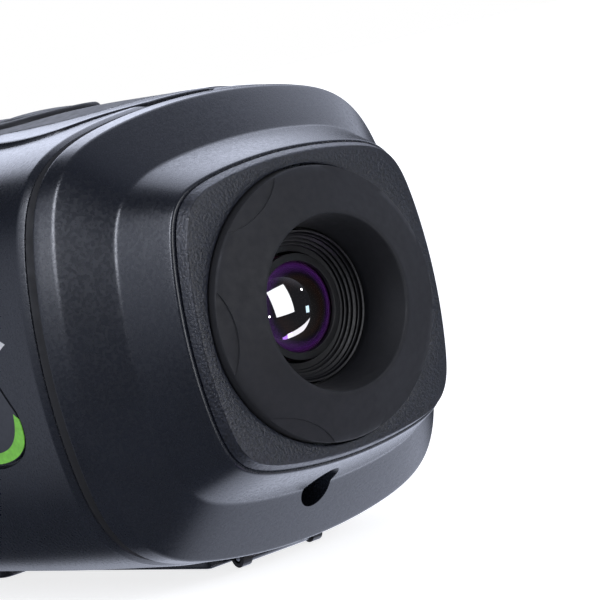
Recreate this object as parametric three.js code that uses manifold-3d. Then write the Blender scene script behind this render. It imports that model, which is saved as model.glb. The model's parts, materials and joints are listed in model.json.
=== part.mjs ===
// A handheld thermal-imaging monocular, in millimetres with +Z up.
// The optical axis lies along Y: the objective looks towards -Y and the eyepiece is at +Y.
// Every piece is drawn in the optic frame, whose origin is the centre of the front bezel's face.
// The last lines shift that frame so that the part's origin is the bottom centre of its box.
import * as THREE from "three";
import { mergeVertices } from "three/addons/utils/BufferGeometryUtils.js";
import Module from "manifold-3d";

const wasm = await Module();
wasm.setup();

// Driving dimensions ---------------------------------------------------------------------------
const GAP = 0.3; // clearance between neighbouring pieces
const LENGTH_FRONT = 3.5; // how far the focus ring's lip stands in front of the bezel
const EYECUP_END = 170; // rear edge of the eyecup
const FOOT_Z = -34.3; // underside of the tripod foot, the surface the monocular rests on

// Cross-sections are squares with rounded corners and bowed sides: half width a, half height b,
// squareness n, centre height cz, and q, the share by which the sides draw in towards the corners.
const BEZEL = [
  { y: 0, a: 20.5, b: 20.1, n: 10, q: 0.122, cz: 0.16 },
  { y: 0.4, a: 20.8, b: 20.4, n: 10, q: 0.122, cz: 0.16 },
  { y: 1.6, a: 21.1, b: 20.7, n: 10, q: 0.122, cz: 0.14 },
];
const NOSE = [
  { y: 1.9, a: 21.6, b: 21.1, n: 9.6, q: 0.122, cz: 0.1 },
  { y: 9.4, a: 25.15, b: 24.14, n: 7.8, q: 0.122, cz: -0.33 },
  { y: 15.4, a: 30.6, b: 31.25, n: 8.6, q: 0.137, cz: -0.91 },
  { y: 18.2, a: 32.2, b: 31.45, n: 7.8, q: 0.135, cz: -0.8 },
];
const BODY = [
  { y: 20, a: 32.7, b: 31.7, n: 7.3, q: 0.134, cz: -0.75 },
  { y: 30, a: 32.9, b: 31.9, n: 7.2, q: 0.134, cz: -0.8 },
  { y: 46, a: 33.0, b: 32.1, n: 7.1, q: 0.134, cz: -0.86 },
  { y: 76, a: 32.6, b: 32.0, n: 6.6, q: 0.125, cz: -0.86 },
  { y: 100, a: 31.0, b: 31.0, n: 5.4, q: 0.105, cz: -0.86 },
  { y: 115, a: 29.2, b: 29.4, n: 4.3, q: 0.08, cz: -0.7 },
  { y: 125.4, a: 27.0, b: 27.4, n: 3.6, q: 0.06, cz: -0.5 },
];
const REAR_CAP = [
  { y: 126.8, a: 26.7, b: 27.1, n: 3.5, q: 0.055, cz: -0.5 },
  { y: 129.5, a: 25.4, b: 25.6, n: 3, q: 0.03, cz: -0.3 },
  { y: 132.5, a: 22.6, b: 22.6, n: 2.4, q: 0.01, cz: 0 },
  { y: 135, a: 21.2, b: 21.2, n: 2, q: 0, cz: 0 },
];
const OUTLINE_POINTS = 40;
const CORNER_PULL = 0.12; // draws the points of an outline towards its corners
const WALL = 2.2;

// Objective: ring, cell and housing radii.
const RING_R = 18.4;
const LIP_R = 11.76;
const MOUTH_R = 10.6;
const SLEEVE_R = 15.9;
const SLEEVE_END = 11;
const CELL_R = 10.2;
const CONE = { r0: 12.26, y0: -LENGTH_FRONT, r1: 17.6, y1: -1.7 }; // the ring's sloping face
const SCALLOPS = 6;
const SCALLOP = { radius: 12.9, reach: 29.1, deep: 0.4 };
const RING_SIDES = 42;
const TETHER = { half: 5, start: 9, end: 18.1, low: -31.5, high: -21, y: 16.6, z: -24.8, r: 2.5, exit: 1.2 };

// The plate behind the nose and what it carries: shutter, detector and their board.
const BULKHEAD = { front: 20.4, back: 22.6, inset: 3, throat: 13.3 };
const SHUTTER = { half: 14, front: 27, back: 31.4, low: -9.6, high: 16.5, opening: 7.5 };
const FLAG = { pivot: 13, park: 78, r: 8, front: 31.9, back: 32.5, arm: 1.5, hub: 1.6 };
const SHUTTER_MOTOR = { r: 3.2, front: 33.2, back: 39.2 };
const DETECTOR = { half: 9, front: 35.4, back: 39.2, windowHalf: 6, windowFront: 34.8 };
const DETECTOR_BOARD = { half: 19, front: 39.6, low: -9.5, high: 21 };

// Top cover, keypad and buttons.
const COVER_HALF = 18.6;
const COVER_START = 20.4;
const COVER_END = 118;
const COVER_PROUD = 0.6;
const COVER_RAMP = [[20.4, 0.2], [30, 0.4], [42, COVER_PROUD]]; // [y, height above the body]
const PANEL_HALF = 13.6;
const PANEL_START = 27;
const PANEL_END = 111;
const HUMP_HALF = 8.3;
const HUMP_START = 46.4;
const HUMP_END = 106;
const HUMP_PROUD = 1.4;
const BUTTON = { width: 11, length: 10, corner: 4.2, proud: 1.75, stem: 1.5 };
const BUTTON_YS = { button_power: 54.8, button_menu: 69, button_palette: 83.2, button_capture: 97.4 };
const BOARD_THICK = 1.6;
const BUTTON_BOARD = { half: 9, start: 48, end: 104, z: 24.4 };
const MAIN_BOARD = { left: -21, right: 26, start: 46, end: 104, z: 3.5 };

// Belly: battery door, then the plate that carries the tripod foot.
const BELLY_HALF = 10.9;
const BELLY_Z = -33.2;
const BELLY_THICK = 2;
const DOOR_START = 23.2;
const DOOR_END = 72;
const DOOR_PIN = { y: 21.5, z: -32.6, r: 0.5, barrel: 1, half: 5.3 };
const DOOR_EAR = { near: 5.6, far: 7.2, r: 1.4 };
const PLATE_START = 72.6;
const PLATE_END = 106;
const BELLY_SCREW_Y = 103.6;
const LATCH = { y: 65.5, width: 10, length: 5.5, travel: 2.5, deep: 1.1 };
const TRIPOD = { y: 88, hole: 3.2, bush: 4.3, flange: 6, top: -24 };

// Battery: one 18350-size cell in a tray, between a coil and a stud.
const CELL_18350 = { r: 9, start: 33, end: 68, z: -20.2 };
const TRAY = { start: 29.3, end: 73, wall: 1.1, low: -29.6, high: -10 };
const COIL = { turns: 2.5, wire: 0.3, radius: 3.4, start: 31.1, length: 1.5 };

// Side port.
const PORT = { start: 90.2, end: 105, low: 5.5, high: 18.5, thick: 1.6 };
const PORT_PIN = { x: 30, y: 91.4, r: 0.5, barrel: 1.1 };
const USB = { y: 98, z: 11.6, width: 8.9, height: 3.2, wall: 0.4, back: 20.5, mouth: 27.6 };

// Display and eyepiece.
const DISPLAY = { half: 9, front: 113.6, back: 118.3, high: 7.5 };
const BRACKET = { half: 19, front: 118.6, back: 119.2, high: 15, windowX: 6.5, windowZ: 5 };
const TUBE_R = 17;
const TUBE_BORE = 15.7;
const DIOPTER_R = 20.4;
const DIOPTER_START = 135.4;
const DIOPTER_END = 145.4;
const DIOPTER_RIBS = 12;
const FLUTE = { r: 1.2, reach: 0.5 }; // radius of a flute, and how far its axis lies outside the ring

// Screws that draw the two body shells together, as [y, z] on the right flank.
const SHELL_SCREWS = [[26, 23.5], [26, -23.5], [116, 20], [116, -21.5]];

// Finishes -------------------------------------------------------------------------------------
const FINISH = {
  shell: { color: 0x2b2e36, roughness: 0.42 },
  bezel: { color: 0x34383f, roughness: 0.7 },
  rubber: { color: 0x24262a, roughness: 0.85 },
  anodised: { color: 0x15161a, roughness: 0.45, metalness: 0.6 },
  metal: { color: 0xb4b6ba, roughness: 0.35, metalness: 1 },
  brass: { color: 0xb08d4a, roughness: 0.35, metalness: 1 },
  board: { color: 0x1c4a2e, roughness: 0.6 },
  chip: { color: 0x17181a, roughness: 0.6 },
  glass: { color: 0x3c2a52, roughness: 0.05 },
  label: { color: 0x1b1d21, roughness: 0.25 },
  cell: { color: 0x2f5f8f, roughness: 0.4 },
};

// Geometry helpers -----------------------------------------------------------------------------

// A closed mesh as a manifold-3d solid, with its faces turned outwards.
function solid(geometry) {
  const bare = new THREE.BufferGeometry();
  bare.setAttribute("position", geometry.getAttribute("position"));
  if (geometry.index) bare.setIndex(geometry.index);
  const merged = mergeVertices(bare, 1e-4);
  const vertProperties = new Float32Array(merged.attributes.position.array);
  const source = merged.index.array;
  const kept = [];
  for (let i = 0; i < source.length; i += 3) {
    const [p, q, r] = [source[i], source[i + 1], source[i + 2]];
    if (p !== q && q !== r && r !== p) kept.push(p, q, r);
  }
  const build = (list) =>
    new wasm.Manifold(new wasm.Mesh({ numProp: 3, vertProperties, triVerts: new Uint32Array(list) }));
  const first = build(kept);
  return first.volume() < 0 ? build(kept.reverse()) : first;
}

function join(...solids) {
  return solids.reduce((sum, next) => sum.add(next));
}

function cut(body, ...tools) {
  return tools.reduce((left, tool) => left.subtract(tool), body);
}

function box(x0, x1, y0, y1, z0, z1) {
  const geometry = new THREE.BoxGeometry(x1 - x0, y1 - y0, z1 - z0);
  return solid(geometry.translate((x0 + x1) / 2, (y0 + y1) / 2, (z0 + z1) / 2));
}

// A cylinder along one axis; u and v are its centre on the other two, in X, Y, Z order.
function rod(axis, radius, from, to, u = 0, v = 0, sides = 20) {
  const geometry = new THREE.CylinderGeometry(radius, radius, to - from, sides);
  const middle = (from + to) / 2;
  if (axis === "x") return solid(geometry.rotateZ(Math.PI / 2).translate(middle, u, v));
  if (axis === "z") return solid(geometry.rotateX(Math.PI / 2).translate(u, v, middle));
  return solid(geometry.translate(u, middle, v));
}

// A body of revolution about the optical axis; the profile lists [radius, y] and closes on itself.
function turned(profile, sides = 30) {
  const points = [...profile, profile[0]].map(([r, y]) => new THREE.Vector2(r, y));
  return solid(new THREE.LatheGeometry(points, sides));
}

function tube(inner, outer, y0, y1, sides = 30) {
  return turned([[inner, y0], [outer, y0], [outer, y1], [inner, y1]], sides);
}

function roundedRect(width, height, radius, cx = 0, cy = 0) {
  const [x, y] = [cx - width / 2, cy - height / 2];
  const shape = new THREE.Shape();
  shape.moveTo(x + radius, y);
  shape.lineTo(x + width - radius, y);
  shape.absarc(x + width - radius, y + radius, radius, -Math.PI / 2, 0);
  shape.lineTo(x + width, y + height - radius);
  shape.absarc(x + width - radius, y + height - radius, radius, 0, Math.PI / 2);
  shape.lineTo(x + radius, y + height);
  shape.absarc(x + radius, y + height - radius, radius, Math.PI / 2, Math.PI);
  shape.lineTo(x, y + radius);
  shape.absarc(x + radius, y + radius, radius, Math.PI, Math.PI * 1.5);
  return shape;
}

const AXES = {
  x: new THREE.Matrix4().makeBasis(
    new THREE.Vector3(0, 1, 0), new THREE.Vector3(0, 0, 1), new THREE.Vector3(1, 0, 0)),
  z: new THREE.Matrix4(),
};

// A flat shape pushed along X or Z. The shape is drawn in (y, z) for X and in (x, y) for Z.
function prism(axis, shape, from, to, curveSegments = 3) {
  const geometry = new THREE.ExtrudeGeometry(shape, {
    depth: to - from, bevelEnabled: false, curveSegments,
  });
  geometry.translate(0, 0, from).applyMatrix4(AXES[axis]);
  return solid(geometry);
}

// A point of a cross-section, at a turn from +X towards +Z.
function outlinePoint(section, grow, turn) {
  const { n, q, cz } = section;
  const [a, b] = [section.a + grow, section.b + grow];
  const [c, s] = [Math.cos(turn), Math.sin(turn)];
  const reach = (Math.abs(c / a) ** n + Math.abs(s / b) ** n) ** (-1 / n);
  const [x, z] = [reach * c, reach * s];
  return [x * (1 - q * (z / b) ** 2), cz + z * (1 - q * (x / a) ** 2)];
}

// A solid skinned over cross-sections along Y, grown or shrunk all round by grow.
function loft(sections, grow = 0) {
  const positions = [];
  const index = [];
  for (const section of sections) {
    for (let i = 0; i < OUTLINE_POINTS; i++) {
      const even = (i / OUTLINE_POINTS) * Math.PI * 2;
      const [x, z] = outlinePoint(section, grow, even + CORNER_PULL * Math.sin(4 * even));
      positions.push(x, section.y, z);
    }
  }
  const ends = [sections[0], sections[sections.length - 1]];
  ends.forEach((section) => positions.push(0, section.y, section.cz));
  const last = (sections.length - 1) * OUTLINE_POINTS;
  const centre = sections.length * OUTLINE_POINTS;
  for (let i = 0; i < OUTLINE_POINTS; i++) {
    const next = (i + 1) % OUTLINE_POINTS;
    for (let row = 0; row < last; row += OUTLINE_POINTS) {
      const [p, q] = [row + i, row + next];
      index.push(p, q, q + OUTLINE_POINTS, p, q + OUTLINE_POINTS, p + OUTLINE_POINTS);
    }
    index.push(centre, next, i, centre + 1, last + i, last + next);
  }
  const geometry = new THREE.BufferGeometry();
  geometry.setAttribute("position", new THREE.Float32BufferAttribute(positions, 3));
  geometry.setIndex(index);
  return solid(geometry);
}

// The cross-section at y, read off a list of sections.
function sectionAt(sections, y) {
  const upper = sections.findIndex((section) => section.y >= y);
  if (upper <= 0) return { ...sections[upper === 0 ? 0 : sections.length - 1], y };
  const [p, q] = [sections[upper - 1], sections[upper]];
  const t = (y - p.y) / (q.y - p.y);
  const mix = (key) => p[key] + (q[key] - p[key]) * t;
  return { y, a: mix("a"), b: mix("b"), n: mix("n"), q: mix("q"), cz: mix("cz") };
}

// The stretch of a list of sections from y0 to y1; past its ends the outline stays the same.
function stretch(sections, y0, y1) {
  const inside = sections.filter((section) => section.y > y0 && section.y < y1);
  return [sectionAt(sections, y0), ...inside, sectionAt(sections, y1)];
}

function topZ(y) {
  const section = sectionAt(BODY, y);
  return section.cz + section.b;
}

// Distance from the middle plane to the body's flank at (y, z), found by halving the turn.
function flankX(y, z) {
  const section = sectionAt(BODY, y);
  const height = Math.abs(z - section.cz);
  let [low, high] = [0, Math.PI / 2];
  for (let i = 0; i < 30; i++) {
    const middle = (low + high) / 2;
    if (outlinePoint(section, 0, middle)[1] - section.cz < height) low = middle;
    else high = middle;
  }
  return outlinePoint(section, 0, low)[0];
}

// A skin of the body's surface between two offsets.
function bodySkin(outer, inner, y0, y1) {
  return cut(loft(stretch(BODY, y0, y1), outer), loft(stretch(BODY, y0 - 1, y1 + 1), inner));
}

const optic = new THREE.Group();

function addPart(name, shape, finish) {
  const data = shape.getMesh();
  const geometry = new THREE.BufferGeometry();
  geometry.setAttribute("position", new THREE.BufferAttribute(new Float32Array(data.vertProperties), 3));
  geometry.setIndex(new THREE.BufferAttribute(new Uint32Array(data.triVerts), 1));
  geometry.computeVertexNormals();
  const mesh = new THREE.Mesh(geometry, new THREE.MeshStandardMaterial(FINISH[finish]));
  mesh.name = name;
  optic.add(mesh);
  return mesh;
}

// Objective ------------------------------------------------------------------------------------

const BEZEL_BACK = BEZEL[BEZEL.length - 1].y;
const NOSE_FRONT = NOSE[0].y;
const NOSE_WALL_END = 4.4;

function frontBezel() {
  addPart("front_bezel", cut(loft(BEZEL), rod("y", RING_R + GAP, -1, 3, 0, 0, RING_SIDES)), "bezel");
}

// The grip: a cone round the mouth, a short wall, and a sleeve that runs back into the nose.
function focusRing() {
  const clipGroove = [[SLEEVE_R, 4.5], [14.7, 4.5], [14.7, 6.1], [SLEEVE_R, 6.1]];
  const sealGroove = [[SLEEVE_R, 2.3], [14.9, 2.3], [14.9, 4.0], [SLEEVE_R, 4.0]];
  const ring = turned([
    [LIP_R, -LENGTH_FRONT], [CONE.r0, CONE.y0], [CONE.r1, CONE.y1], [RING_R, -1.2],
    [RING_R, BEZEL_BACK], [SLEEVE_R, BEZEL_BACK], ...sealGroove, ...clipGroove,
    [SLEEVE_R, SLEEVE_END], [13, SLEEVE_END], [13, 4.2], [MOUTH_R, 4.2], [MOUTH_R, 3],
  ], RING_SIDES);
  const floorY = (r) => SCALLOP.deep + CONE.y0 + ((r - CONE.r0) * (CONE.y1 - CONE.y0)) / (CONE.r1 - CONE.r0);
  const [near, far, clear] = [LIP_R, RING_R + 2, -6];
  const skim = turned([[near, clear], [far, clear], [far, floorY(far)], [near, floorY(near)]], RING_SIDES);
  const dishes = [];
  for (let i = 0; i < SCALLOPS; i++) {
    const turn = (i / SCALLOPS) * Math.PI * 2;
    const [x, z] = [Math.cos(turn), Math.sin(turn)].map((part) => part * SCALLOP.reach);
    dishes.push(rod("y", SCALLOP.radius, clear, 0, x, z, 48).intersect(skim));
  }
  addPart("focus_ring", cut(ring, ...dishes), "rubber");
}

function focusClip() {
  const clip = tube(15, 17.6, 4.8, 5.8);
  addPart("focus_clip", cut(clip, box(-3, 3, 4, 7, 12, 20)), "metal");
}

function focusSeal() {
  addPart("focus_seal", tube(15.2, 15.95, 2.6, 3.7), "rubber");
}

// The nose: a square boss that flares through a shoulder to a rim, closed in front but for the ring.
function noseShell() {
  const end = NOSE[NOSE.length - 1].y;
  const inner = loft([
    { ...sectionAt(NOSE, NOSE_WALL_END), y: NOSE_WALL_END },
    ...NOSE.filter((section) => section.y > NOSE_WALL_END && section.y < end),
    sectionAt(NOSE, end + 1),
  ].map((section) => ({ ...section, a: section.a - WALL, b: section.b - WALL })));
  const { half, start, low, high, y, z, r, exit } = TETHER;
  const tetherBlock = box(-half, half, start, TETHER.end, low, high);
  const hull = loft(NOSE);
  const body = join(cut(hull, inner), tetherBlock.intersect(hull));
  const tetherIn = rod("y", r, -1, y + 0.4, 0, z, 24);
  const tetherOut = rod("z", exit, FOOT_Z, z, 0, y, 24);
  const mouth = rod("y", SLEEVE_R + GAP, 0, 6, 0, 0, RING_SIDES);
  addPart("nose_shell", cut(body, mouth, tetherIn, tetherOut), "shell");
}

// The body's first section, moved along Y and grown.
function bodyEnd(y, grow) {
  const section = BODY[0];
  return { ...section, y, a: section.a + grow, b: section.b + grow };
}

// A flat gasket whose outer edge slopes from under the nose's rim out to the body's front edge.
function noseGasket() {
  const outer = loft([bodyEnd(18.5, -1.5), bodyEnd(19.7, -0.4)]);
  const inner = loft([bodyEnd(17, -4), bodyEnd(21, -4)]);
  addPart("nose_gasket", cut(outer, inner), "rubber");
}

// The die-cast plate that closes the body behind the nose; its two ears carry the battery door's pin.
function frontBulkhead() {
  const { front, back, inset, throat } = BULKHEAD;
  const plate = loft([bodyEnd(front, -inset), bodyEnd(back, -inset)]);
  const ears = [-1, 1].map((side) => {
    const [x0, x1] = side < 0 ? [-DOOR_EAR.far, -DOOR_EAR.near] : [DOOR_EAR.near, DOOR_EAR.far];
    const { y, z } = DOOR_PIN;
    const web = box(x0, x1, y - DOOR_EAR.r + 0.1, y + DOOR_EAR.r - 0.1, z, -28);
    return join(web, rod("x", DOOR_EAR.r, x0, x1, y, z));
  });
  const slots = [-26, 18].map((x) => box(x, x + 8, front - 1, back + 1, -10, 14));
  const pinHole = rod("x", DOOR_PIN.r + GAP, -14, 14, DOOR_PIN.y, DOOR_PIN.z, 16);
  const bore = rod("y", throat, front - 1, back + 1);
  addPart("front_bulkhead", cut(join(plate, ...ears), bore, pinHole, ...slots), "anodised");
}

function objectiveHousing() {
  const housing = turned([[10.5, 4.6], [12.7, 4.6], [12.7, 22.9], [17, 22.9], [17, 25.2], [10.5, 25.2]]);
  addPart("objective_housing", housing, "anodised");
}

// The lens cell: stepped baffle rings in front, then a bore with a seat at each end.
function lensCell() {
  const baffle = [];
  const [steps, front, back, outer, inner] = [3, 3.5, 5.4, 10, 8.5];
  for (let i = 0; i < steps; i++) {
    const [r0, r1] = [i, i + 1].map((k) => outer + ((inner - outer) * k) / steps);
    const y = front + ((back - front) * (i + 1)) / steps;
    baffle.push([r0, y], [r1, y]);
  }
  const cell = turned([
    [CELL_R, 23.5], [CELL_R, front], [outer, front], ...baffle,
    [7.5, back], [7.5, 10.2], [6.2, 10.2], [6.2, 16.5], [6.9, 16.5], [6.9, 23.5],
  ]);
  addPart("lens_cell", cell, "anodised");
}

// A lens between two spherical faces: vertex heights y0 and y1, edge heights e0 and e1.
function lens(radius, y0, e0, e1, y1, steps = 3) {
  const face = (vertex, edge) => {
    const rise = edge - vertex;
    return Array.from({ length: steps + 1 }, (_, i) => {
      const r = (radius * i) / steps;
      return [r, vertex + rise * (r / radius) ** 2];
    });
  };
  return turned([...face(y0, e0), ...face(y1, e1).reverse()], 24);
}

function objectiveOptics() {
  addPart("lens_retainer", tube(6.15, 7.2, 4.9, 5.5), "anodised");
  addPart("front_lens", lens(7.1, 4.0, 6.6, 9.4, 9.9), "glass");
  addPart("rear_lens", lens(6.5, 17.4, 18, 20.4, 21), "glass");
}

// Sensor ---------------------------------------------------------------------------------------

// The shutter's flag stands parked beside the light path and turns on the motor's shaft.
function shutter() {
  const { half, front, back, low, high, opening } = SHUTTER;
  const housing = cut(box(-half, half, front, back, low, high), rod("y", opening, front - 1, back + 1));
  addPart("shutter_housing", housing, "chip");
  const { pivot, r, arm, hub } = FLAG;
  const park = (FLAG.park * Math.PI) / 180;
  const centre = [pivot * Math.sin(park), pivot - pivot * Math.cos(park)];
  const blade = rod("y", r, FLAG.front, FLAG.back, ...centre);
  const bar = box(0, 4 * arm, FLAG.front, FLAG.back, pivot - arm, pivot + arm);
  const boss = rod("y", hub, FLAG.front - 0.1, FLAG.back + 0.4, 0, pivot, 20);
  addPart("shutter_flag", join(blade, bar, boss), "chip");
  const motor = SHUTTER_MOTOR;
  addPart("shutter_motor", rod("y", motor.r, motor.front, motor.back, 0, pivot), "metal");
}

function sensor() {
  const { half, front, back, windowHalf, windowFront } = DETECTOR;
  const can = box(-half, half, front, back, -half, half);
  const window = box(-windowHalf, windowHalf, windowFront, front + 0.6, 1 - windowHalf, windowHalf - 1);
  addPart("detector", join(can, window), "metal");
  const board = DETECTOR_BOARD;
  const [boardFront, boardBack] = [board.front, board.front + BOARD_THICK];
  const plate = box(-board.half, board.half, boardFront, boardBack, board.low, board.high);
  addPart("detector_board", plate, "board");
}

// Body -----------------------------------------------------------------------------------------

// Plan of the top cover, drawn in (x, y): a narrow front that spreads to full width.
function coverPlan(grow) {
  const [half, end] = [COVER_HALF + grow, COVER_END + grow];
  const start = COVER_START - Math.max(grow, 0) * 2;
  const [neck, throat] = [5.5 + grow, 13.5 + grow];
  const shape = new THREE.Shape();
  shape.moveTo(-neck, start);
  shape.lineTo(-throat, 25.6 - grow);
  shape.quadraticCurveTo(-half, 27, -half, 37);
  shape.lineTo(-half, end - 12);
  shape.quadraticCurveTo(-half + 1, end, -half + 11, end);
  shape.lineTo(half - 11, end);
  shape.quadraticCurveTo(half - 1, end, half, end - 12);
  shape.lineTo(half, 37);
  shape.quadraticCurveTo(half, 27, throat, 25.6 - grow);
  shape.lineTo(neck, start);
  return shape;
}

// Plan of the keypad panel: its front end is drawn out to an arch.
function panelPlan(grow) {
  const [half, start, end] = [PANEL_HALF + grow, PANEL_START - grow, PANEL_END + grow];
  const shape = new THREE.Shape();
  shape.moveTo(-3, start);
  shape.quadraticCurveTo(-half + 1.5, start + 0.5, -half, start + 16);
  shape.lineTo(-half, end - 7);
  shape.quadraticCurveTo(-half, end, -half + 7, end);
  shape.lineTo(half - 7, end);
  shape.quadraticCurveTo(half, end, half, end - 7);
  shape.lineTo(half, start + 16);
  shape.quadraticCurveTo(half - 1.5, start + 0.5, 3, start);
  return shape;
}

function midRect(half, y0, y1, radius) {
  return roundedRect(half * 2, y1 - y0, radius, 0, (y0 + y1) / 2);
}

// Outline of the label on the left flank, drawn in (y, z): a slanted front and round corners.
function labelOutline(grow) {
  const shape = new THREE.Shape();
  shape.moveTo(34.5 - grow, 5 + grow);
  shape.lineTo(27.8 - grow, -5.2);
  shape.quadraticCurveTo(25.6 - grow, -11.4 - grow, 34.6, -12.4 - grow);
  shape.lineTo(80, -13 - grow);
  shape.quadraticCurveTo(85 + grow, -13 - grow, 84 + grow, -7);
  shape.lineTo(82 + grow, 1);
  shape.quadraticCurveTo(81 + grow, 5 + grow, 77, 5 + grow);
  return shape;
}

function labelSolid(grow, outer, inner) {
  const skin = bodySkin(outer, inner, 20, 100);
  return skin.intersect(prism("x", labelOutline(grow), -36, -20));
}

function portOutline(grow) {
  const width = PORT.end - PORT.start + grow * 2;
  const height = PORT.high - PORT.low + grow * 2;
  return roundedRect(width, height, 0.6, (PORT.start + PORT.end) / 2, (PORT.low + PORT.high) / 2);
}

function screwBoss(side, y, z) {
  const [x0, x1] = side < 0 ? [-40, -GAP / 2] : [GAP / 2, 40];
  return rod("x", 2.9, x0, x1, y, z, 12);
}

// The body tube, split on the middle plane, with its openings for cover, belly, port and label.
function bodyShells() {
  const [y0, y1] = [BODY[0].y, BODY[BODY.length - 1].y];
  const hull = loft(stretch(BODY, y0, y1));
  const skin = bodySkin(0, -WALL, y0, y1);
  const openings = [
    prism("z", coverPlan(GAP), 15, 40, 7),
    box(-BELLY_HALF - GAP, BELLY_HALF + GAP, DOOR_START - GAP, PLATE_END + GAP, -40, -28),
    box(-DOOR_EAR.far - GAP, DOOR_EAR.far + GAP, 10, DOOR_START, -40, -28.5),
  ];
  const shaft = (radius, from, to, y, z) => rod("x", radius, from, to, y, z, 12);
  for (const side of [-1, 1]) {
    const half = side < 0 ? box(-40, -GAP / 2, 0, 140, -40, 40) : box(GAP / 2, 40, 0, 140, -40, 40);
    const bosses = SHELL_SCREWS.map(([y, z]) => screwBoss(side, y, z).intersect(hull));
    const holes = SHELL_SCREWS.flatMap(([y, z]) => {
      if (side < 0) return [shaft(1.5, -10, 0, y, z)];
      return [shaft(1.5, -1, 40, y, z), shaft(2.6, flankX(y, z) - 2.6, 40, y, z)];
    });
    const own = side < 0
      ? labelSolid(GAP, 2, -0.75)
      : prism("x", portOutline(GAP), 20, 40);
    const shell = cut(join(skin.intersect(half), ...bosses), ...openings, ...holes, own);
    addPart(side < 0 ? "body_shell_left" : "body_shell_right", shell, "shell");
  }
  SHELL_SCREWS.forEach(([y, z], i) => {
    const seat = flankX(y, z) - 2.3;
    const head = cut(rod("x", 2.3, 0, 1.7), rod("x", 1, 0.8, 2, 0, 0, 6));
    const screw = addPart("shell_screw_" + (i + 1), join(head, rod("x", 1.2, 0.5 - seat - 6, 0.5)), "metal");
    screw.position.set(seat, y, z);
  });
}

// The body's surface raised by the cover's height, which grows from its front end.
function coverHull(lower) {
  const ramp = COVER_RAMP.map(([y, height]) => {
    const section = sectionAt(BODY, y);
    return { ...section, a: section.a + height - lower, b: section.b + height - lower };
  });
  const rest = stretch(BODY, 46, COVER_END + 1).map((section) => (
    { ...section, a: section.a + COVER_PROUD - lower, b: section.b + COVER_PROUD - lower }));
  return loft([...ramp, ...rest]);
}

function topCover() {
  const skin = cut(coverHull(0), loft(stretch(BODY, COVER_START - 1, COVER_END + 2), -1.8));
  const cover = skin.intersect(prism("z", coverPlan(0), 15, 40, 7));
  addPart("top_cover", cut(cover, prism("z", panelPlan(GAP), 15, 40, 7)), "shell");
}

// The rubber keypad: a flat panel flush with the cover, and a raised pad round the buttons.
function keypad() {
  const skin = cut(coverHull(0.1), loft(stretch(BODY, COVER_START - 1, COVER_END + 2), -1.6));
  const panel = skin.intersect(prism("z", panelPlan(0), 15, 40, 7));
  const hump = bodySkin(HUMP_PROUD, -1, HUMP_START, HUMP_END)
    .intersect(prism("z", midRect(HUMP_HALF, HUMP_START, HUMP_END, 6.5), 15, 40));
  const holes = Object.values(BUTTON_YS).map((y) => {
    const { width, length, corner } = BUTTON;
    const shape = roundedRect(width + GAP * 2, length + GAP * 2, corner, 0, y);
    return prism("z", shape, 15, 40);
  });
  addPart("keypad", cut(join(panel, hump), ...holes), "rubber");
}

const BUTTON_BOARD_TOP = BUTTON_BOARD.z + BOARD_THICK;
const SWITCH_TOP = BUTTON_BOARD_TOP + GAP + 1.8;
const BUTTON_STROKE_ROOM = 0.8;

// Each button slides straight down onto its tact switch.
function buttons() {
  for (const [name, y] of Object.entries(BUTTON_YS)) {
    const top = topZ(y) + BUTTON.proud;
    const stemEnd = SWITCH_TOP + BUTTON_STROKE_ROOM - top;
    const cap = prism("z", roundedRect(BUTTON.width, BUTTON.length, BUTTON.corner), -2.6, 0);
    const button = addPart(name, join(cap, rod("z", BUTTON.stem, stemEnd, -2, 0, 0, 20)), "rubber");
    button.position.set(0, y, top);
  }
  const { half, start, end, z } = BUTTON_BOARD;
  addPart("button_board", box(-half, half, start, end, z, BUTTON_BOARD_TOP), "board");
  Object.values(BUTTON_YS).forEach((y, i) => {
    const can = join(box(-3, 3, -3, 3, 0, 1.2), rod("z", 1.4, 1, 1.8, 0, 0, 20));
    const tact = addPart("tact_switch_" + (i + 1), can, "metal");
    tact.position.set(0, y, BUTTON_BOARD_TOP + GAP);
  });
}

function mainBoard() {
  const { left, right, start, end, z } = MAIN_BOARD;
  const top = z + BOARD_THICK;
  const chips = join(box(-9, 7, 54, 70, top - 0.5, top + 1.8), box(-16, -6, 76, 88, top - 0.5, top + 1.4));
  addPart("main_board", join(box(left, right, start, end, z, top), chips), "board");
  const { width, height, wall, back, mouth } = USB;
  const shell = prism("x", roundedRect(width, height, 1.5, USB.y, USB.z), back, mouth);
  const socket = roundedRect(width - wall * 2, height - wall * 2, 1.1, USB.y, USB.z);
  const foot = box(back, back + 5, USB.y - 3.5, USB.y + 3.5, top + GAP, USB.z - 1.3);
  addPart("usb_connector", join(cut(shell, prism("x", socket, back + 1.5, mouth + 1)), foot), "metal");
}

// The port's cover: a flap that follows the flank, hung on an upright pin at its front edge.
function portCover() {
  const { start, low, high, thick } = PORT;
  const flap = bodySkin(0, -thick, 80, 112).intersect(prism("x", portOutline(0), 20, 40));
  const trimmed = cut(flap, box(20, 40, start - 1, PORT_PIN.y, low - 1, high + 1));
  const barrel = rod("z", PORT_PIN.barrel, low, high, PORT_PIN.x, PORT_PIN.y, 24);
  const bore = rod("z", PORT_PIN.r + GAP, low - 1, high + 1, PORT_PIN.x, PORT_PIN.y, 16);
  addPart("port_cover", cut(join(trimmed, barrel), bore), "rubber");
  addPart("port_hinge_pin", rod("z", PORT_PIN.r, low, high, PORT_PIN.x, PORT_PIN.y, 16), "metal");
}

function sideLabel() {
  addPart("side_label", labelSolid(0, 0, -0.45), "label");
}

// Belly and battery ----------------------------------------------------------------------------

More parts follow.
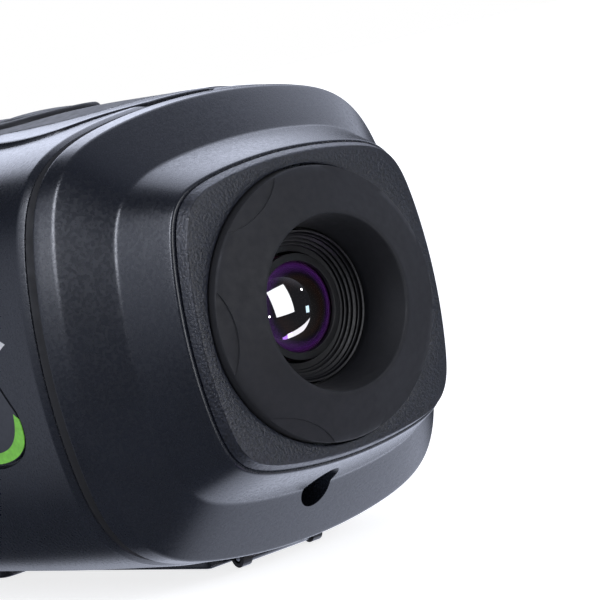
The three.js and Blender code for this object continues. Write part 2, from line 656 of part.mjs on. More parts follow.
// The door turns on a pin along its front edge; a thumb latch slides in a pocket at its rear.
function batteryDoor() {
  const top = BELLY_Z + BELLY_THICK;
  const { half, barrel: barrelR } = DOOR_PIN;
  const leaf = box(-BELLY_HALF, BELLY_HALF, DOOR_START, DOOR_END, BELLY_Z, top);
  const web = box(-half, half, DOOR_PIN.y, DOOR_START + 0.5, BELLY_Z, BELLY_Z + 1.5);
  const barrel = rod("x", barrelR, -half, half, DOOR_PIN.y, DOOR_PIN.z, 24);
  const bore = rod("x", DOOR_PIN.r + GAP, -half - 1, half + 1, DOOR_PIN.y, DOOR_PIN.z, 16);
  const { y, width, length, travel, deep } = LATCH;
  const pocket = box(-width / 2 - GAP, width / 2 + GAP, y - length / 2 - travel - GAP,
    y + length / 2 + GAP, BELLY_Z - 1, BELLY_Z + deep);
  addPart("battery_door", cut(join(leaf, web, barrel), bore, pocket), "shell");
  const ridges = [-1.5, 0, 1.5].map((dy) =>
    box(-width / 2 + 1, width / 2 - 1, y + dy - 0.35, y + dy + 0.35, BELLY_Z - 0.5, BELLY_Z));
  const slider = box(-width / 2, width / 2, y - length / 2, y + length / 2,
    BELLY_Z - 0.1, BELLY_Z + deep - GAP);
  addPart("door_latch", join(slider, ...ridges), "rubber");
  const reach = DOOR_EAR.far - 0.1;
  addPart("door_hinge_pin", rod("x", DOOR_PIN.r, -reach, reach, DOOR_PIN.y, DOOR_PIN.z, 16), "metal");
}

function battery() {
  const { r, start, end, z } = CELL_18350;
  const bore = r + GAP;
  const [front, back] = [TRAY.start + TRAY.wall, TRAY.end - TRAY.wall - GAP];
  const block = box(-BELLY_HALF, BELLY_HALF, TRAY.start, TRAY.end, TRAY.low, TRAY.high);
  const bed = join(rod("y", bore, front, back, 0, z), box(-bore, bore, front, back, TRAY.low - 1, z));
  addPart("battery_tray", cut(block, bed), "chip");
  addPart("battery_cell", join(rod("y", r, start, end, 0, z), rod("y", 3, end - 1, end + 0.9, 0, z)), "cell");
  const stud = join(rod("y", 4.5, 70.7, 71.3, 0, z, 24), rod("y", 2, 69.2, 71, 0, z, 20));
  addPart("contact_positive", stud, "metal");
  addPart("contact_spring", contactSpring(z), "metal");
}

// The negative contact: a wire coil on the optical axis's direction, from the tray wall to the cell.
function contactSpring(z) {
  const { turns, wire, radius, start, length } = COIL;
  class Coil extends THREE.Curve {
    getPoint(t) {
      const turn = t * turns * Math.PI * 2;
      return new THREE.Vector3(radius * Math.cos(turn), start + length * t, z + radius * Math.sin(turn));
    }
  }
  const round = new THREE.Shape().absarc(0, 0, wire, 0, Math.PI * 2);
  return solid(new THREE.ExtrudeGeometry(round, {
    steps: turns * 10, curveSegments: 3, extrudePath: new Coil(), bevelEnabled: false,
  }));
}

// The fixed belly plate with the tripod foot, and the threaded bush that is pulled up into it.
function bellyPlate() {
  const top = BELLY_Z + BELLY_THICK;
  const { y, hole, bush, flange, top: bushTop } = TRIPOD;
  const plate = box(-BELLY_HALF, BELLY_HALF, PLATE_START, PLATE_END, BELLY_Z, top);
  const foot = prism("z", midRect(BELLY_HALF, 75, 101, 2), FOOT_Z, top);
  const collar = rod("z", bush + 2.2, top - 1, bushTop - 2, 0, y);
  const screwHole = join(
    rod("z", 1.5, -36, -28, 0, BELLY_SCREW_Y, 20),
    rod("z", 2.5, -36, BELLY_Z + 1.2, 0, BELLY_SCREW_Y, 20),
  );
  const body = cut(join(plate, foot, collar), rod("z", bush + GAP, -36, -20, 0, y), screwHole);
  addPart("belly_plate", body, "shell");
  const sleeve = rod("z", bush, FOOT_Z + 0.1, bushTop, 0, y);
  const rim = rod("z", flange, bushTop - 1.6, bushTop, 0, y);
  addPart("tripod_bush", cut(join(sleeve, rim), rod("z", hole, -36, -20, 0, y)), "brass");
  const head = cut(rod("z", 2.2, 0, 0.9), rod("z", 1, -1, 0.5, 0, 0, 6));
  const screw = addPart("belly_screw", join(head, rod("z", 1.2, 0.5, 6)), "metal");
  screw.position.set(0, BELLY_SCREW_Y, BELLY_Z);
}

// Rear -----------------------------------------------------------------------------------------

function rearCap() {
  const seat = REAR_CAP[0].y;
  const spigot = cut(
    loft(stretch(BODY, 119.5, 125.4).concat({ ...sectionAt(BODY, 125.4), y: seat + 0.2 }), -WALL - GAP),
    loft(stretch(BODY, 118, 130), -WALL - GAP - 1.8),
  );
  const cap = cut(loft(REAR_CAP), loft([
    { ...REAR_CAP[0], y: seat - 1 }, { ...REAR_CAP[1], y: 128.8 }, { ...REAR_CAP[2], y: 131 },
  ], -3.6));
  addPart("rear_cap", cut(join(spigot, cap), rod("y", TUBE_R + GAP, 118, 140, 0, 0, 36)), "shell");
  const ring = BODY[BODY.length - 1];
  const gasket = cut(
    loft([{ ...ring, y: 125.7 }, { ...ring, y: 126.5 }], -0.5),
    loft([{ ...ring, y: 125 }, { ...ring, y: 127 }], -WALL),
  );
  addPart("rear_gasket", gasket, "rubber");
}

function display() {
  const { half, front, back, high } = DISPLAY;
  addPart("display_module", box(-half, half, front, back, -high, high), "chip");
  const plate = box(-BRACKET.half, BRACKET.half, BRACKET.front, BRACKET.back, -BRACKET.high, BRACKET.high);
  const { windowX, windowZ } = BRACKET;
  const window = box(-windowX, windowX, BRACKET.front - 1, BRACKET.back + 1, -windowZ, windowZ);
  addPart("display_bracket", cut(plate, window), "metal");
}

function eyepiece() {
  const tubeBody = turned([
    [TUBE_BORE, 121], [19.2, 121], [19.2, 123], [TUBE_R, 123], [TUBE_R, 151], [TUBE_BORE, 151],
  ], 30);
  addPart("eyepiece_tube", tubeBody, "anodised");
  const ring = tube(TUBE_R + GAP, DIOPTER_R, DIOPTER_START, DIOPTER_END, 36);
  const flutes = [];
  for (let i = 0; i < DIOPTER_RIBS; i++) {
    const turn = (i / DIOPTER_RIBS) * Math.PI * 2;
    const [x, z] = [Math.cos(turn), Math.sin(turn)].map((part) => part * (DIOPTER_R + FLUTE.reach));
    flutes.push(rod("y", FLUTE.r, DIOPTER_START + FLUTE.r, DIOPTER_END - FLUTE.r, x, z, 6));
  }
  addPart("diopter_ring", cut(ring, ...flutes), "rubber");
  const cell = turned([
    [15.3, 129], [15.3, 149], [13.4, 149], [13.4, 140.2], [12.2, 140.2],
    [12.2, 137.2], [13.4, 137.2], [13.4, 129],
  ]);
  addPart("eyepiece_cell", cell, "anodised");
  addPart("eyepiece_lens_front", lens(13, 130.6, 132, 135.4, 136.8), "glass");
  addPart("eyepiece_lens_rear", lens(13, 140.6, 142.4, 145.2, 146.8), "glass");
  addPart("eyepiece_retainer", tube(12, 13.1, 147.2, 148.6), "anodised");
}

// The soft cup: a collar gripping the tube, then a thin flared skirt open towards the eye.
function eyecup() {
  const [collar, mouth] = [DIOPTER_END + 0.4, EYECUP_END];
  addPart("eyecup", turned([
    [TUBE_R + GAP, collar], [20.4, collar], [21.2, 150], [22.2, 156], [24.4, 164], [25.6, mouth - 1.2],
    [25, mouth], [23.6, mouth - 0.6], [22, 164], [19.6, 156], [18.2, 152], [TUBE_R + GAP, 151.2],
  ], 36), "rubber");
}

// Assembly -------------------------------------------------------------------------------------

frontBezel();
focusRing();
focusClip();
focusSeal();
noseShell();
noseGasket();
frontBulkhead();
objectiveHousing();
lensCell();
objectiveOptics();
shutter();
sensor();
bodyShells();
topCover();
keypad();
buttons();
mainBoard();
portCover();
sideLabel();
batteryDoor();
battery();
bellyPlate();
rearCap();
display();
eyepiece();
eyecup();

optic.position.set(0, (LENGTH_FRONT - EYECUP_END) / 2, -FOOT_Z);
const monocular = new THREE.Group();
monocular.add(optic);

export default monocular;
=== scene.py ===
import json
import math

import bmesh
import bpy
import numpy as np
from mathutils import Matrix, Vector
from mathutils.geometry import delaunay_2d_cdt

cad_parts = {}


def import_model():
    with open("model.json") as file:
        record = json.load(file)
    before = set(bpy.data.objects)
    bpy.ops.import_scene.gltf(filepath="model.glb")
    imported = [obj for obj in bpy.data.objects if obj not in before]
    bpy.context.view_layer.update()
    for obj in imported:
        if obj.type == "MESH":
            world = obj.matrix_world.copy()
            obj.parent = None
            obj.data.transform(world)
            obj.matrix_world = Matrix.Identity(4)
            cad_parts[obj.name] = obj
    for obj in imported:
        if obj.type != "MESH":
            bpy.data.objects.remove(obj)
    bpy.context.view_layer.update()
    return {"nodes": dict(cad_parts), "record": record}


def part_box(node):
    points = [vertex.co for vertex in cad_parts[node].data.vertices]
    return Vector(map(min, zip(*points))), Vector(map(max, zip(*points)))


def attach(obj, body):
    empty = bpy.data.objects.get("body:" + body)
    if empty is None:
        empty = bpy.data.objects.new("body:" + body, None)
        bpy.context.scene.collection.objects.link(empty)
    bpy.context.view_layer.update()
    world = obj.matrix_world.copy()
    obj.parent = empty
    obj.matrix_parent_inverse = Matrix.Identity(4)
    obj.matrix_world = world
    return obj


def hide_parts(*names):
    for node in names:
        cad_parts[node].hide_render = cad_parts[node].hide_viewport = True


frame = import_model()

MM = 0.001
GAP = 0.3  # clearance between neighbouring pieces
SIDES = 240  # points round a cross-section
SHARP = 24  # degrees between two faces that meet in a crisp edge
FRONT_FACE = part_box("front_bezel")[0].y
RING_LOW, RING_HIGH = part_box("focus_ring")
OPTIC = Vector(((RING_LOW.x + RING_HIGH.x) / 2, FRONT_FACE, (RING_LOW.z + RING_HIGH.z) / 2))

# Cross-sections are squares with rounded corners and bowed sides: y, half width, half height,
# squareness, the share by which the sides draw in towards the corners, centre height.
BEZEL_FACE = (0, 20.5, 20.1, 10, 0.122, 0.16)
BEZEL_BACK = (1.6, 21.1, 20.7, 10, 0.122, 0.14)
NOSE_FRONT = (1.9, 21.6, 21.1, 9.6, 0.122, 0.1)
NOSE_WAIST = (9.4, 25.15, 24.14, 7.8, 0.122, -0.33)
NOSE_SHOULDER = (15.4, 30.6, 31.25, 8.6, 0.137, -0.91)
NOSE_RIM = (18.2, 32.2, 31.45, 7.8, 0.135, -0.8)
BODY = (
    (20, 32.7, 31.7, 7.3, 0.134, -0.75),
    (30, 32.9, 31.9, 7.2, 0.134, -0.8),
    (46, 33.0, 32.1, 7.1, 0.134, -0.86),
    (76, 32.6, 32.0, 6.6, 0.125, -0.86),
    (100, 31.0, 31.0, 5.4, 0.105, -0.86),
    (115, 29.2, 29.4, 4.3, 0.08, -0.7),
    (125.4, 27.0, 27.4, 3.6, 0.06, -0.5),
)
REAR_CAP = (
    (126.8, 26.7, 27.1, 3.5, 0.055, -0.5),
    (129.5, 25.4, 25.6, 3, 0.03, -0.3),
    (132.5, 22.6, 22.6, 2.4, 0.01, 0),
    (135, 21.2, 21.2, 2, 0, 0),
)
WALL = 2.2

# Objective.
RING_R = 18.4
LIP_R = 11.76
MOUTH_R = 10.6
SLEEVE_R = 15.9
SCALLOPS = 6
SCALLOP = {"radius": 12.9, "reach": 29.1, "deep": 0.3}
CELL_R = 10.2
BAFFLES = ((10.0, 3.5), (9.72, 4.1), (9.3, 4.65), (8.9, 5.1), (8.47, 5.5))  # radius, y
FRONT_LENS = {"radius": 7.1, "curve": 11, "vertex": 4.0, "back": 9.4, "bulge": 0.5}
TETHER = {"x": -0.3, "z": -24.8, "radius": 2.5, "end": 17, "exit_y": 16.6, "exit_radius": 1.2}

# Top cover, keypad and buttons.
COVER = {"half": 18.6, "start": 20.4, "end": 118, "neck": 5.5, "throat": 13.5, "proud": 0.8}
COVER_RAMP = ((20.4, 0.2), (30, 0.45), (42, 0.8))  # y, height above the body
PANEL = {"half": 13.6, "start": 27, "end": 111, "sunk": 0.12}
HUMP = {"half": 8.3, "start": 46.4, "end": 106, "proud": 1.4, "corner": 6.5}
BUTTON = {"width": 11, "length": 10, "corner": 4.2, "dome": 0.35}
BUTTONS = ("power", "menu", "palette", "capture")

# Belly: the door with its pin and latch, then the fixed plate with its foot, bush and screw.
BELLY_HALF = 10.9
BELLY_LEVEL = -33.2
DOOR = {"start": 23.2, "end": 72}
DOOR_PIN = {"y": 21.5, "z": -32.6, "half": 5.3, "barrel": 1.0, "bore": 0.8}
LATCH = {"half": 5, "start": 62.75, "end": 68.25}
LATCH_POCKET = {"half": 5.3, "start": 59.95, "end": 68.55}
LATCH_RIDGES = (64, 65.5, 67)
PLATE = {"start": 72.6, "end": 106}
FOOT = {"start": 75, "end": 101, "proud": 1.1}
BUSH = {"y": 88, "hole": 3.2, "root": 3.65, "pitch": 1.27, "ridges": 7, "low": -34.2, "high": -24}
FOOT_SCREW = {"y": 103.6, "seat": 2.5, "shaft": 1.5}

# Side port on the right flank: start, end, low, high are its outline in y and z.
PORT = {"start": 90.2, "end": 105, "low": 5.5, "high": 18.5}
PORT_PIN = {"x": 30, "y": 91.4, "barrel": 1.1, "bore": 0.8}
FLAP_THICK = 1.6

# Eyepiece.
TUBE_R = 17
CUP_BORE = 17.3
GRIP_R = 20.4
DIOPTER = {"start": 135.4, "end": 145.4, "flutes": 36, "flute_r": 0.75}
EYE_LENS_R = 13
EYE_LENSES = (  # piece, node, then vertex and edge of the front face, edge and vertex of the rear
    ("field_glass", "eyepiece_lens_front", 130.6, 132, 135.4, 136.8),
    ("eye_glass", "eyepiece_lens_rear", 140.6, 142.4, 145.2, 146.8),
)

# Camera, in the optic frame: where it is, where it looks and which way is up in it.
CAMERA_PLACE = (-250.96, -313.04, 35.04)
CAMERA_AHEAD = (0.6181, 0.7816, -0.0842)
CAMERA_UP = (0.2263, -0.0743, 0.9712)
CAMERA_LENS = 182.8
CAMERA_SENSOR = 36

# The room that gloss sees: an even dim level, and bright lobes on top of it.
ROOM_DIM = 0.045
LOBES = (  # direction, full within, gone beyond (degrees), strength
    ((0.38, 0.76, 0.53), 9, 25, 3.0),
    ((0.47, 0.4, 0.79), 14, 28, 1.5),
    ((0.92, 0.1, 0.38), 12, 32, 1.3),
    ((0.6, 0.05, 0.8), 20, 60, 0.4),
    ((0.5, 0.22, -0.8), 20, 46, 1.6),
    ((0.55, 0.66, -0.5), 8, 22, 0.7),
    ((-0.64, 0.76, -0.02), 8, 24, 0.6),
    ((-0.93, 0.24, 0.34), 8, 32, 0.9),
)
SOFTBOX_DISTANCE = 1.2  # metres
FLOOR_HALF = 6.0  # metres


# Shapes ------------------------------------------------------------------------------------------


def outline(station, sides=SIDES):
    """The points of one cross-section, spread evenly by angle but drawn towards the corners."""
    y, a, b, n, q, cz = station
    even = np.linspace(0, 2 * math.pi, sides, endpoint=False)
    x, z = bowed(even + 0.1 * np.sin(4 * even), a, b, n, q)
    return np.stack([x, np.full(sides, float(y)), cz + z], 1)


def bowed(turn, a, b, n, q):
    """Points of a bowed square, by the turn from +X towards +Z."""
    c, s = np.cos(turn), np.sin(turn)
    reach = (np.abs(c / a) ** n + np.abs(s / b) ** n) ** (-1 / n)
    x, z = reach * c, reach * s
    return x * (1 - q * (z / b) ** 2), z * (1 - q * (x / a) ** 2)


def rise(across, a, b, n, q):
    """How high a bowed square reaches at a distance from its middle, found by halving the turn."""
    low, high = np.zeros(np.shape(across)), np.full(np.shape(across), math.pi / 2)
    for _ in range(26):
        middle = (low + high) / 2
        beyond = bowed(middle, a, b, n, q)[0] > np.abs(across)
        low, high = np.where(beyond, middle, low), np.where(beyond, high, middle)
    return bowed(high, a, b, n, q)[1]


def grown(station, grow, y=None):
    """The same cross-section grown all round, and moved to y if that is given."""
    own_y, a, b, *rest = station
    return (own_y if y is None else y, a + grow, b + grow, *rest)


def circle(y, radius):
    """A round cross-section on the optical axis."""
    return (y, radius, radius, 2, 0, 0)


def rounded(corners, steps=5):
    """A closed path of stations whose corners are rounded. Each corner is (station, radius)."""
    stations = [np.array(station, float) for station, _ in corners]
    radii = [radius for _, radius in corners]
    path = []
    for i, corner in enumerate(stations):
        back, ahead = stations[i - 1] - corner, stations[(i + 1) % len(stations)] - corner
        if radii[i] == 0:
            path.append(corner)
            continue
        start, end = (corner + side * min(0.45, radii[i] / flat_length(side)) for side in (back, ahead))
        for t in np.linspace(0, 1, steps + 1):
            path.append((1 - t) ** 2 * start + 2 * t * (1 - t) * corner + t * t * end)
    return path


def flat_length(step):
    """How long a step between two stations is, along Y and across."""
    return max(math.hypot(step[0], max(abs(step[1]), abs(step[2]))), 1e-6)


def refined(path, longest=2.0):
    """A closed path with stations added so that no step is longer than that."""
    points = []
    for here, following in zip(path, path[1:] + path[:1]):
        here, following = np.array(here, float), np.array(following, float)
        count = max(1, math.ceil(flat_length(following - here) / longest))
        points += [here + (following - here) * k / count for k in range(count)]
    return points


def solid(points, faces):
    """A closed mesh with its faces turned outwards."""
    mesh = bpy.data.meshes.new("shape")
    mesh.from_pydata([tuple(map(float, p)) for p in points], [], faces)
    work = bmesh.new()
    work.from_mesh(mesh)
    bmesh.ops.recalc_face_normals(work, faces=work.faces)
    work.to_mesh(mesh)
    work.free()
    return mesh


def band(near, far, count):
    """The quads between two loops of that many points, by the numbers of their first points."""
    ahead = [(i + 1) % count for i in range(count)]
    return [(near + i, near + ahead[i], far + ahead[i], far + i) for i in range(count)]


def sleeve(corners, sides=SIDES, longest=2.0, steps=5):
    """A solid ring about the Y axis: its corners go round the wall's profile and close on themselves."""
    path = refined(rounded(corners, steps), longest)
    points = np.concatenate([outline(station, sides) for station in path])
    faces = []
    for row in range(len(path)):
        faces += band(row * sides, ((row + 1) % len(path)) * sides, sides)
    return solid(points, faces)


def plug(stations, sides=SIDES):
    """A solid skinned over cross-sections along Y, closed by a flat face at each end."""
    points = np.concatenate([outline(station, sides) for station in stations])
    faces = [tuple(range(sides)), tuple(range(len(points) - 1, len(points) - 1 - sides, -1))]
    for row in range(len(stations) - 1):
        faces += band(row * sides, (row + 1) * sides, sides)
    return solid(points, faces)


def turned(corners, sides=SIDES, longest=1.0, steps=5):
    """A solid ring of revolution about the optical axis. Each corner is (radius, y, rounding)."""
    return sleeve([(circle(y, r), rounding) for r, y, rounding in corners], sides, longest, steps)


def spun(profile, axis, sides, centre=(0, 0, 0)):
    """A solid of revolution whose (radius, along) profile starts and ends on the axis."""
    inner = profile[1:-1]
    turn = np.linspace(0, 2 * math.pi, sides, endpoint=False)
    points = [(0, profile[0][1], 0)]
    for radius, along in inner:
        points += [(radius * math.cos(t), along, radius * math.sin(t)) for t in turn]
    points.append((0, profile[-1][1], 0))
    last = len(points) - 1
    faces = []
    for i in range(sides):
        j = (i + 1) % sides
        faces.append((0, 1 + j, 1 + i))
        for row in range(len(inner) - 1):
            near = 1 + row * sides
            faces.append((near + i, near + j, near + sides + j, near + sides + i))
        end = 1 + (len(inner) - 1) * sides
        faces.append((end + i, end + j, last))
    points = np.array(points, float)
    order = {"y": [0, 1, 2], "x": [1, 0, 2], "z": [0, 2, 1]}[axis]
    return solid(points[:, order] + np.array(centre, float), faces)


def rod(radius, low, high, edge, axis, sides, centre):
    """A plain rod with rounded ends, along an axis from low to high."""
    arc = [(math.sin(t) * edge, math.cos(t) * edge) for t in np.linspace(0, math.pi / 2, 4)]
    start = [(radius - edge + s, low + edge - c) for s, c in arc]
    end = [(radius - edge + s, high - edge + c) for s, c in reversed(arc)]
    return spun([(0, low), *start, *end, (0, high)], axis, sides, centre)


def combined(operation, base, *tools):
    """base with the tools cut away (DIFFERENCE), added (UNION) or kept inside (INTERSECT)."""
    holder = bpy.data.objects.new("base", base)
    bpy.context.scene.collection.objects.link(holder)
    others = []
    for tool in tools:
        other = bpy.data.objects.new("tool", tool)
        bpy.context.scene.collection.objects.link(other)
        others.append(other)
        change = holder.modifiers.new("change", "BOOLEAN")
        change.object = other
        change.operation = operation
        change.solver = "MANIFOLD"
    bpy.context.view_layer.update()
    result = bpy.data.meshes.new_from_object(holder.evaluated_get(bpy.context.evaluated_depsgraph_get()))
    for leftover in [holder, *others]:
        bpy.data.objects.remove(leftover)
    return result


# Flat outlines -----------------------------------------------------------------------------------


def traced(start, *moves, step=0.7):
    """A closed outline from start: each move is an end point, or a control point and an end point."""
    points, here = [], np.array(start, float)
    for move in moves:
        control, end = (None, move) if np.ndim(move) == 1 else move
        end = np.array(end, float)
        middle = (here + end) / 2 if control is None else np.array(control, float)
        length = np.linalg.norm(middle - here) + np.linalg.norm(end - middle)
        for t in np.arange(max(1, math.ceil(length / step))) / max(1, math.ceil(length / step)):
            points.append((1 - t) ** 2 * here + 2 * t * (1 - t) * middle + t * t * end)
        here = end
    gap = np.linalg.norm(here - points[0])
    count = math.ceil(gap / step)
    points += [here + (points[0] - here) * k / count for k in range(count)]
    return anticlockwise(np.array(points))


def anticlockwise(loop):
    """The loop, turned round if it runs clockwise."""
    ahead = np.roll(loop, -1, 0)
    area = np.sum(loop[:, 0] * ahead[:, 1] - ahead[:, 0] * loop[:, 1])
    return loop if area > 0 else loop[::-1]


def rounded_rect(half, start, end, corner):
    """A rectangle from -half to half and from start to end, with rounded corners."""
    return traced(
        (-half + corner, start), (half - corner, start), ((half, start), (half, start + corner)),
        (half, end - corner), ((half, end), (half - corner, end)), (-half + corner, end),
        ((-half, end), (-half, end - corner)), (-half, start + corner),
        ((-half, start), (-half + corner, start)),
    )


def moved_outwards(loop, distance):
    """The loop moved to its right by that distance, which is outwards if it runs anticlockwise."""
    ahead = np.roll(loop, -1, 0) - loop
    ahead /= np.maximum(np.linalg.norm(ahead, axis=1, keepdims=True), 1e-9)
    after = np.stack([ahead[:, 1], -ahead[:, 0]], 1)
    before = np.roll(after, 1, 0)
    share = 1 + np.sum(before * after, axis=1, keepdims=True)
    return loop + distance * (before + after) / np.maximum(share, 0.5)


def inside(points, loops):
    """Which points lie inside the outer loop and outside the holes."""
    crossings = np.zeros(len(points), int)
    for loop in loops:
        x0, y0 = loop.T
        x1, y1 = np.roll(loop, -1, 0).T
        px, py = points[:, :1], points[:, 1:]
        spans = (y0 > py) != (y1 > py)
        with np.errstate(divide="ignore", invalid="ignore"):
            x = x0 + (py - y0) * (x1 - x0) / (y1 - y0)
        crossings += np.sum(spans & (px < x), axis=1)
    return crossings % 2 == 1


def filled(loops, spacing):
    """Triangles over an outer loop and its holes, through a grid of inner points."""
    rim = np.concatenate(loops)
    low, high = loops[0].min(0), loops[0].max(0)
    rows = np.arange(low[1], high[1], spacing)
    grid = [(x, y) for y in rows for x in np.arange(low[0], high[0], spacing)]
    grid = np.array(grid, float).reshape(-1, 2)
    grid = grid[inside(grid, loops)]
    clear = [np.min(np.sum((rim - p) ** 2, axis=1)) > (0.55 * spacing) ** 2 for p in grid]
    grid = grid[np.array(clear, bool)] if len(grid) else grid
    points = np.concatenate([rim, grid])
    edges, start = [], 0
    for loop in loops:
        count = len(loop)
        edges += [(start + i, start + (i + 1) % count) for i in range(count)]
        start += count
    found = delaunay_2d_cdt([Vector(p) for p in points], edges, [], 1, 1e-7)
    source = [origin[0] for origin in found[3]]
    triangles = np.array([[source[k] for k in face] for face in found[2]])
    for hole in loops[1:]:
        triangles = triangles[~inside(points[triangles].mean(1), [hole])]
    return grid, triangles


def slab(loops, profile, place, spacing=1.4):
    """A plate over an outer loop (anticlockwise) and its holes (clockwise). profile lists
    (inset, height) from the rim of its underside to the rim of its top, and place() turns
    (u, v, height) into points."""
    levels = [np.concatenate([moved_outwards(loop, -inset) for loop in loops]) for inset, _ in profile]
    points = [place(level[:, 0], level[:, 1], height) for level, (_, height) in zip(levels, profile)]
    total = len(levels[0])
    faces, start = [], 0
    for loop in loops:
        for row in range(len(profile) - 1):
            faces += band(row * total + start, (row + 1) * total + start, len(loop))
        start += len(loop)
    size = len(profile) * total
    for row, turn in ((0, -1), (len(profile) - 1, 1)):
        inset, height = profile[row]
        grid, triangles = filled([moved_outwards(loop, -inset) for loop in loops], spacing)
        numbers = np.concatenate([row * total + np.arange(total), size + np.arange(len(grid))])
        faces += [tuple(int(numbers[k]) for k in triangle[::turn]) for triangle in triangles]
        if len(grid):
            points.append(place(grid[:, 0], grid[:, 1], height))
        size += len(grid)
    return solid(np.concatenate(points), faces)


def soft_edge(radius, top, bottom, steps=4):
    """A profile for slab(): a straight wall up from bottom, and a round edge at the top."""
    arc = [
        (radius * (1 - math.cos(t)), top - radius * (1 - math.sin(t)))
        for t in np.linspace(0, math.pi / 2, steps + 1)
    ]
    return [(0, bottom), *arc]


def flared_hole(depth, lip=0.3, above=2.0, grow=GAP):
    """A profile for slab() that cuts an opening and rounds the edge that it leaves at height 0."""
    arc = [
        (-grow - lip * (1 - math.cos(t)), -lip + lip * math.sin(t))
        for t in np.linspace(0, math.pi * 0.42, 4)
    ]
    return [(-grow, -depth), *arc, (-grow - lip * 1.6, above)]


# The body's surface ------------------------------------------------------------------------------


def body_at(y):
    """The body's cross-section at y, blended without overshoot."""
    y = np.asarray(y, float)
    table = np.array(BODY)
    ys = table[:, 0]
    gaps = np.diff(ys)
    k = np.clip(np.searchsorted(ys, y) - 1, 0, len(ys) - 2)
    t = np.clip((y - ys[k]) / gaps[k], 0, 1)
    result = []
    for column in table.T[1:]:
        slopes = np.diff(column) / gaps
        slope = np.concatenate([slopes[:1], np.zeros(len(ys) - 2), slopes[-1:]])
        same = slopes[:-1] * slopes[1:] > 0
        pair = slopes[:-1] + slopes[1:]
        slope[1:-1][same] = 2 * (slopes[:-1] * slopes[1:])[same] / pair[same]
        h00, h10 = 2 * t**3 - 3 * t**2 + 1, t**3 - 2 * t**2 + t
        h01, h11 = -2 * t**3 + 3 * t**2, t**3 - t**2
        ends = h00 * column[k] + h01 * column[k + 1]
        result.append(ends + gaps[k] * (h10 * slope[k] + h11 * slope[k + 1]))
    return result


def body_station(y, grow=0.0):
    """The body's cross-section at y, grown all round."""
    a, b, n, q, cz = (float(v) for v in body_at(y))
    return (y, a + grow, b + grow, n, q, cz)


def on_top(u, v, height):
    """A point of the top surface: u is x, v is y."""
    a, b, n, q, cz = body_at(v)
    return np.stack([u, v, cz + rise(u, a, b, n, q) + height], 1)


def on_flank(side):
    """The surface of one flank: u is y, v is z. Left is -1 and right is 1."""

    def place(u, v, height):
        a, b, n, q, cz = body_at(u)
        return np.stack([side * (rise(v - cz, b, a, n, q) + height), u, v], 1)

    return place


def flat(axis, level, facing=1):
    """A flat face across an axis at that level, with heights measured along facing."""

    def place(u, v, height):
        along = np.full(len(u), level + facing * height, float)
        return np.stack({"z": [u, v, along], "y": [u, along, v], "x": [along, u, v]}[axis], 1)

    return place


# Materials ---------------------------------------------------------------------------------------


class Nodes:
    """The shader nodes of a material or a world."""

    def __init__(self, owner):
        owner.use_nodes = True
        self.tree = owner.node_tree

    def add(self, kind, **settings):
        node = self.tree.nodes.new(kind)
        for key, value in settings.items():
            setattr(node, key, value)
        return node

    def link(self, source, target):
        self.tree.links.new(source, target)

    def mapped(self, value, low, high, start=0.3, end=0.7, blend="LINEAR"):
        """Maps start to low and end to high, and holds both beyond them."""
        node = self.add("ShaderNodeMapRange", interpolation_type=blend)
        for key, number in (("From Min", start), ("From Max", end), ("To Min", low), ("To Max", high)):
            node.inputs[key].default_value = number
        self.link(value, node.inputs["Value"])
        return node.outputs["Result"]


class Finish(Nodes):
    """A procedural material on one Principled shader, painted in the model's own coordinates."""

    def __init__(self, name, **sockets):
        self.material = bpy.data.materials.new(name)
        super().__init__(self.material)
        self.shader = self.tree.nodes["Principled BSDF"]
        for socket, value in sockets.items():
            self.shader.inputs[socket.replace("_", " ")].default_value = value
        self.where = self.add("ShaderNodeTexCoord").outputs["Object"]
        self.bumps = []

    def noise(self, size_mm, detail, rough=0.5):
        node = self.add("ShaderNodeTexNoise")
        node.inputs["Scale"].default_value = 1 / (size_mm * MM)
        node.inputs["Detail"].default_value = detail
        node.inputs["Roughness"].default_value = rough
        self.link(self.where, node.inputs["Vector"])
        return node.outputs["Fac"]

    def from_axis(self, full_mm=7.5):
        """How far a point lies from the optical axis, as a share of full_mm."""
        middle = self.add("ShaderNodeVectorMath", operation="SUBTRACT")
        middle.inputs[1].default_value = OPTIC
        self.link(self.where, middle.inputs[0])
        across = self.add("ShaderNodeVectorMath", operation="MULTIPLY")
        across.inputs[1].default_value = (1, 0, 1)
        self.link(middle.outputs["Vector"], across.inputs[0])
        length = self.add("ShaderNodeVectorMath", operation="LENGTH")
        self.link(across.outputs["Vector"], length.inputs[0])
        return self.mapped(length.outputs["Value"], 0, 1, 0, full_mm * MM)

    def colours(self, value, *stops):
        """Paints the surface with a ramp; each stop is (position, sRGB colour)."""
        ramp = self.add("ShaderNodeValToRGB")
        elements = ramp.color_ramp.elements
        while len(elements) < len(stops):
            elements.new(0.5)
        for element, (position, colour) in zip(elements, stops):
            element.position = position
            element.color = linear(colour)
        self.link(value, ramp.inputs["Fac"])
        self.link(ramp.outputs["Color"], self.shader.inputs["Base Color"])
        return self

    def sheen_spread(self, value, low, high):
        """Lets the roughness wander between two values."""
        self.link(self.mapped(value, low, high), self.shader.inputs["Roughness"])
        return self

    def relief(self, value, height_mm):
        """Bumps of that height, on top of those that the finish already has."""
        node = self.add("ShaderNodeBump")
        node.inputs["Strength"].default_value = 1.0
        node.inputs["Distance"].default_value = height_mm * MM
        self.link(value, node.inputs["Height"])
        if self.bumps:
            self.link(self.bumps[-1].outputs["Normal"], node.inputs["Normal"])
        self.bumps.append(node)
        self.link(node.outputs["Normal"], self.shader.inputs["Normal"])
        return self


def linear(colour):
    """A linear RGBA colour from sRGB numbers of 0 to 255."""
    parts = [c / 255 for c in colour]
    return [p / 12.92 if p <= 0.04045 else ((p + 0.055) / 1.055) ** 2.4 for p in parts] + [1.0]


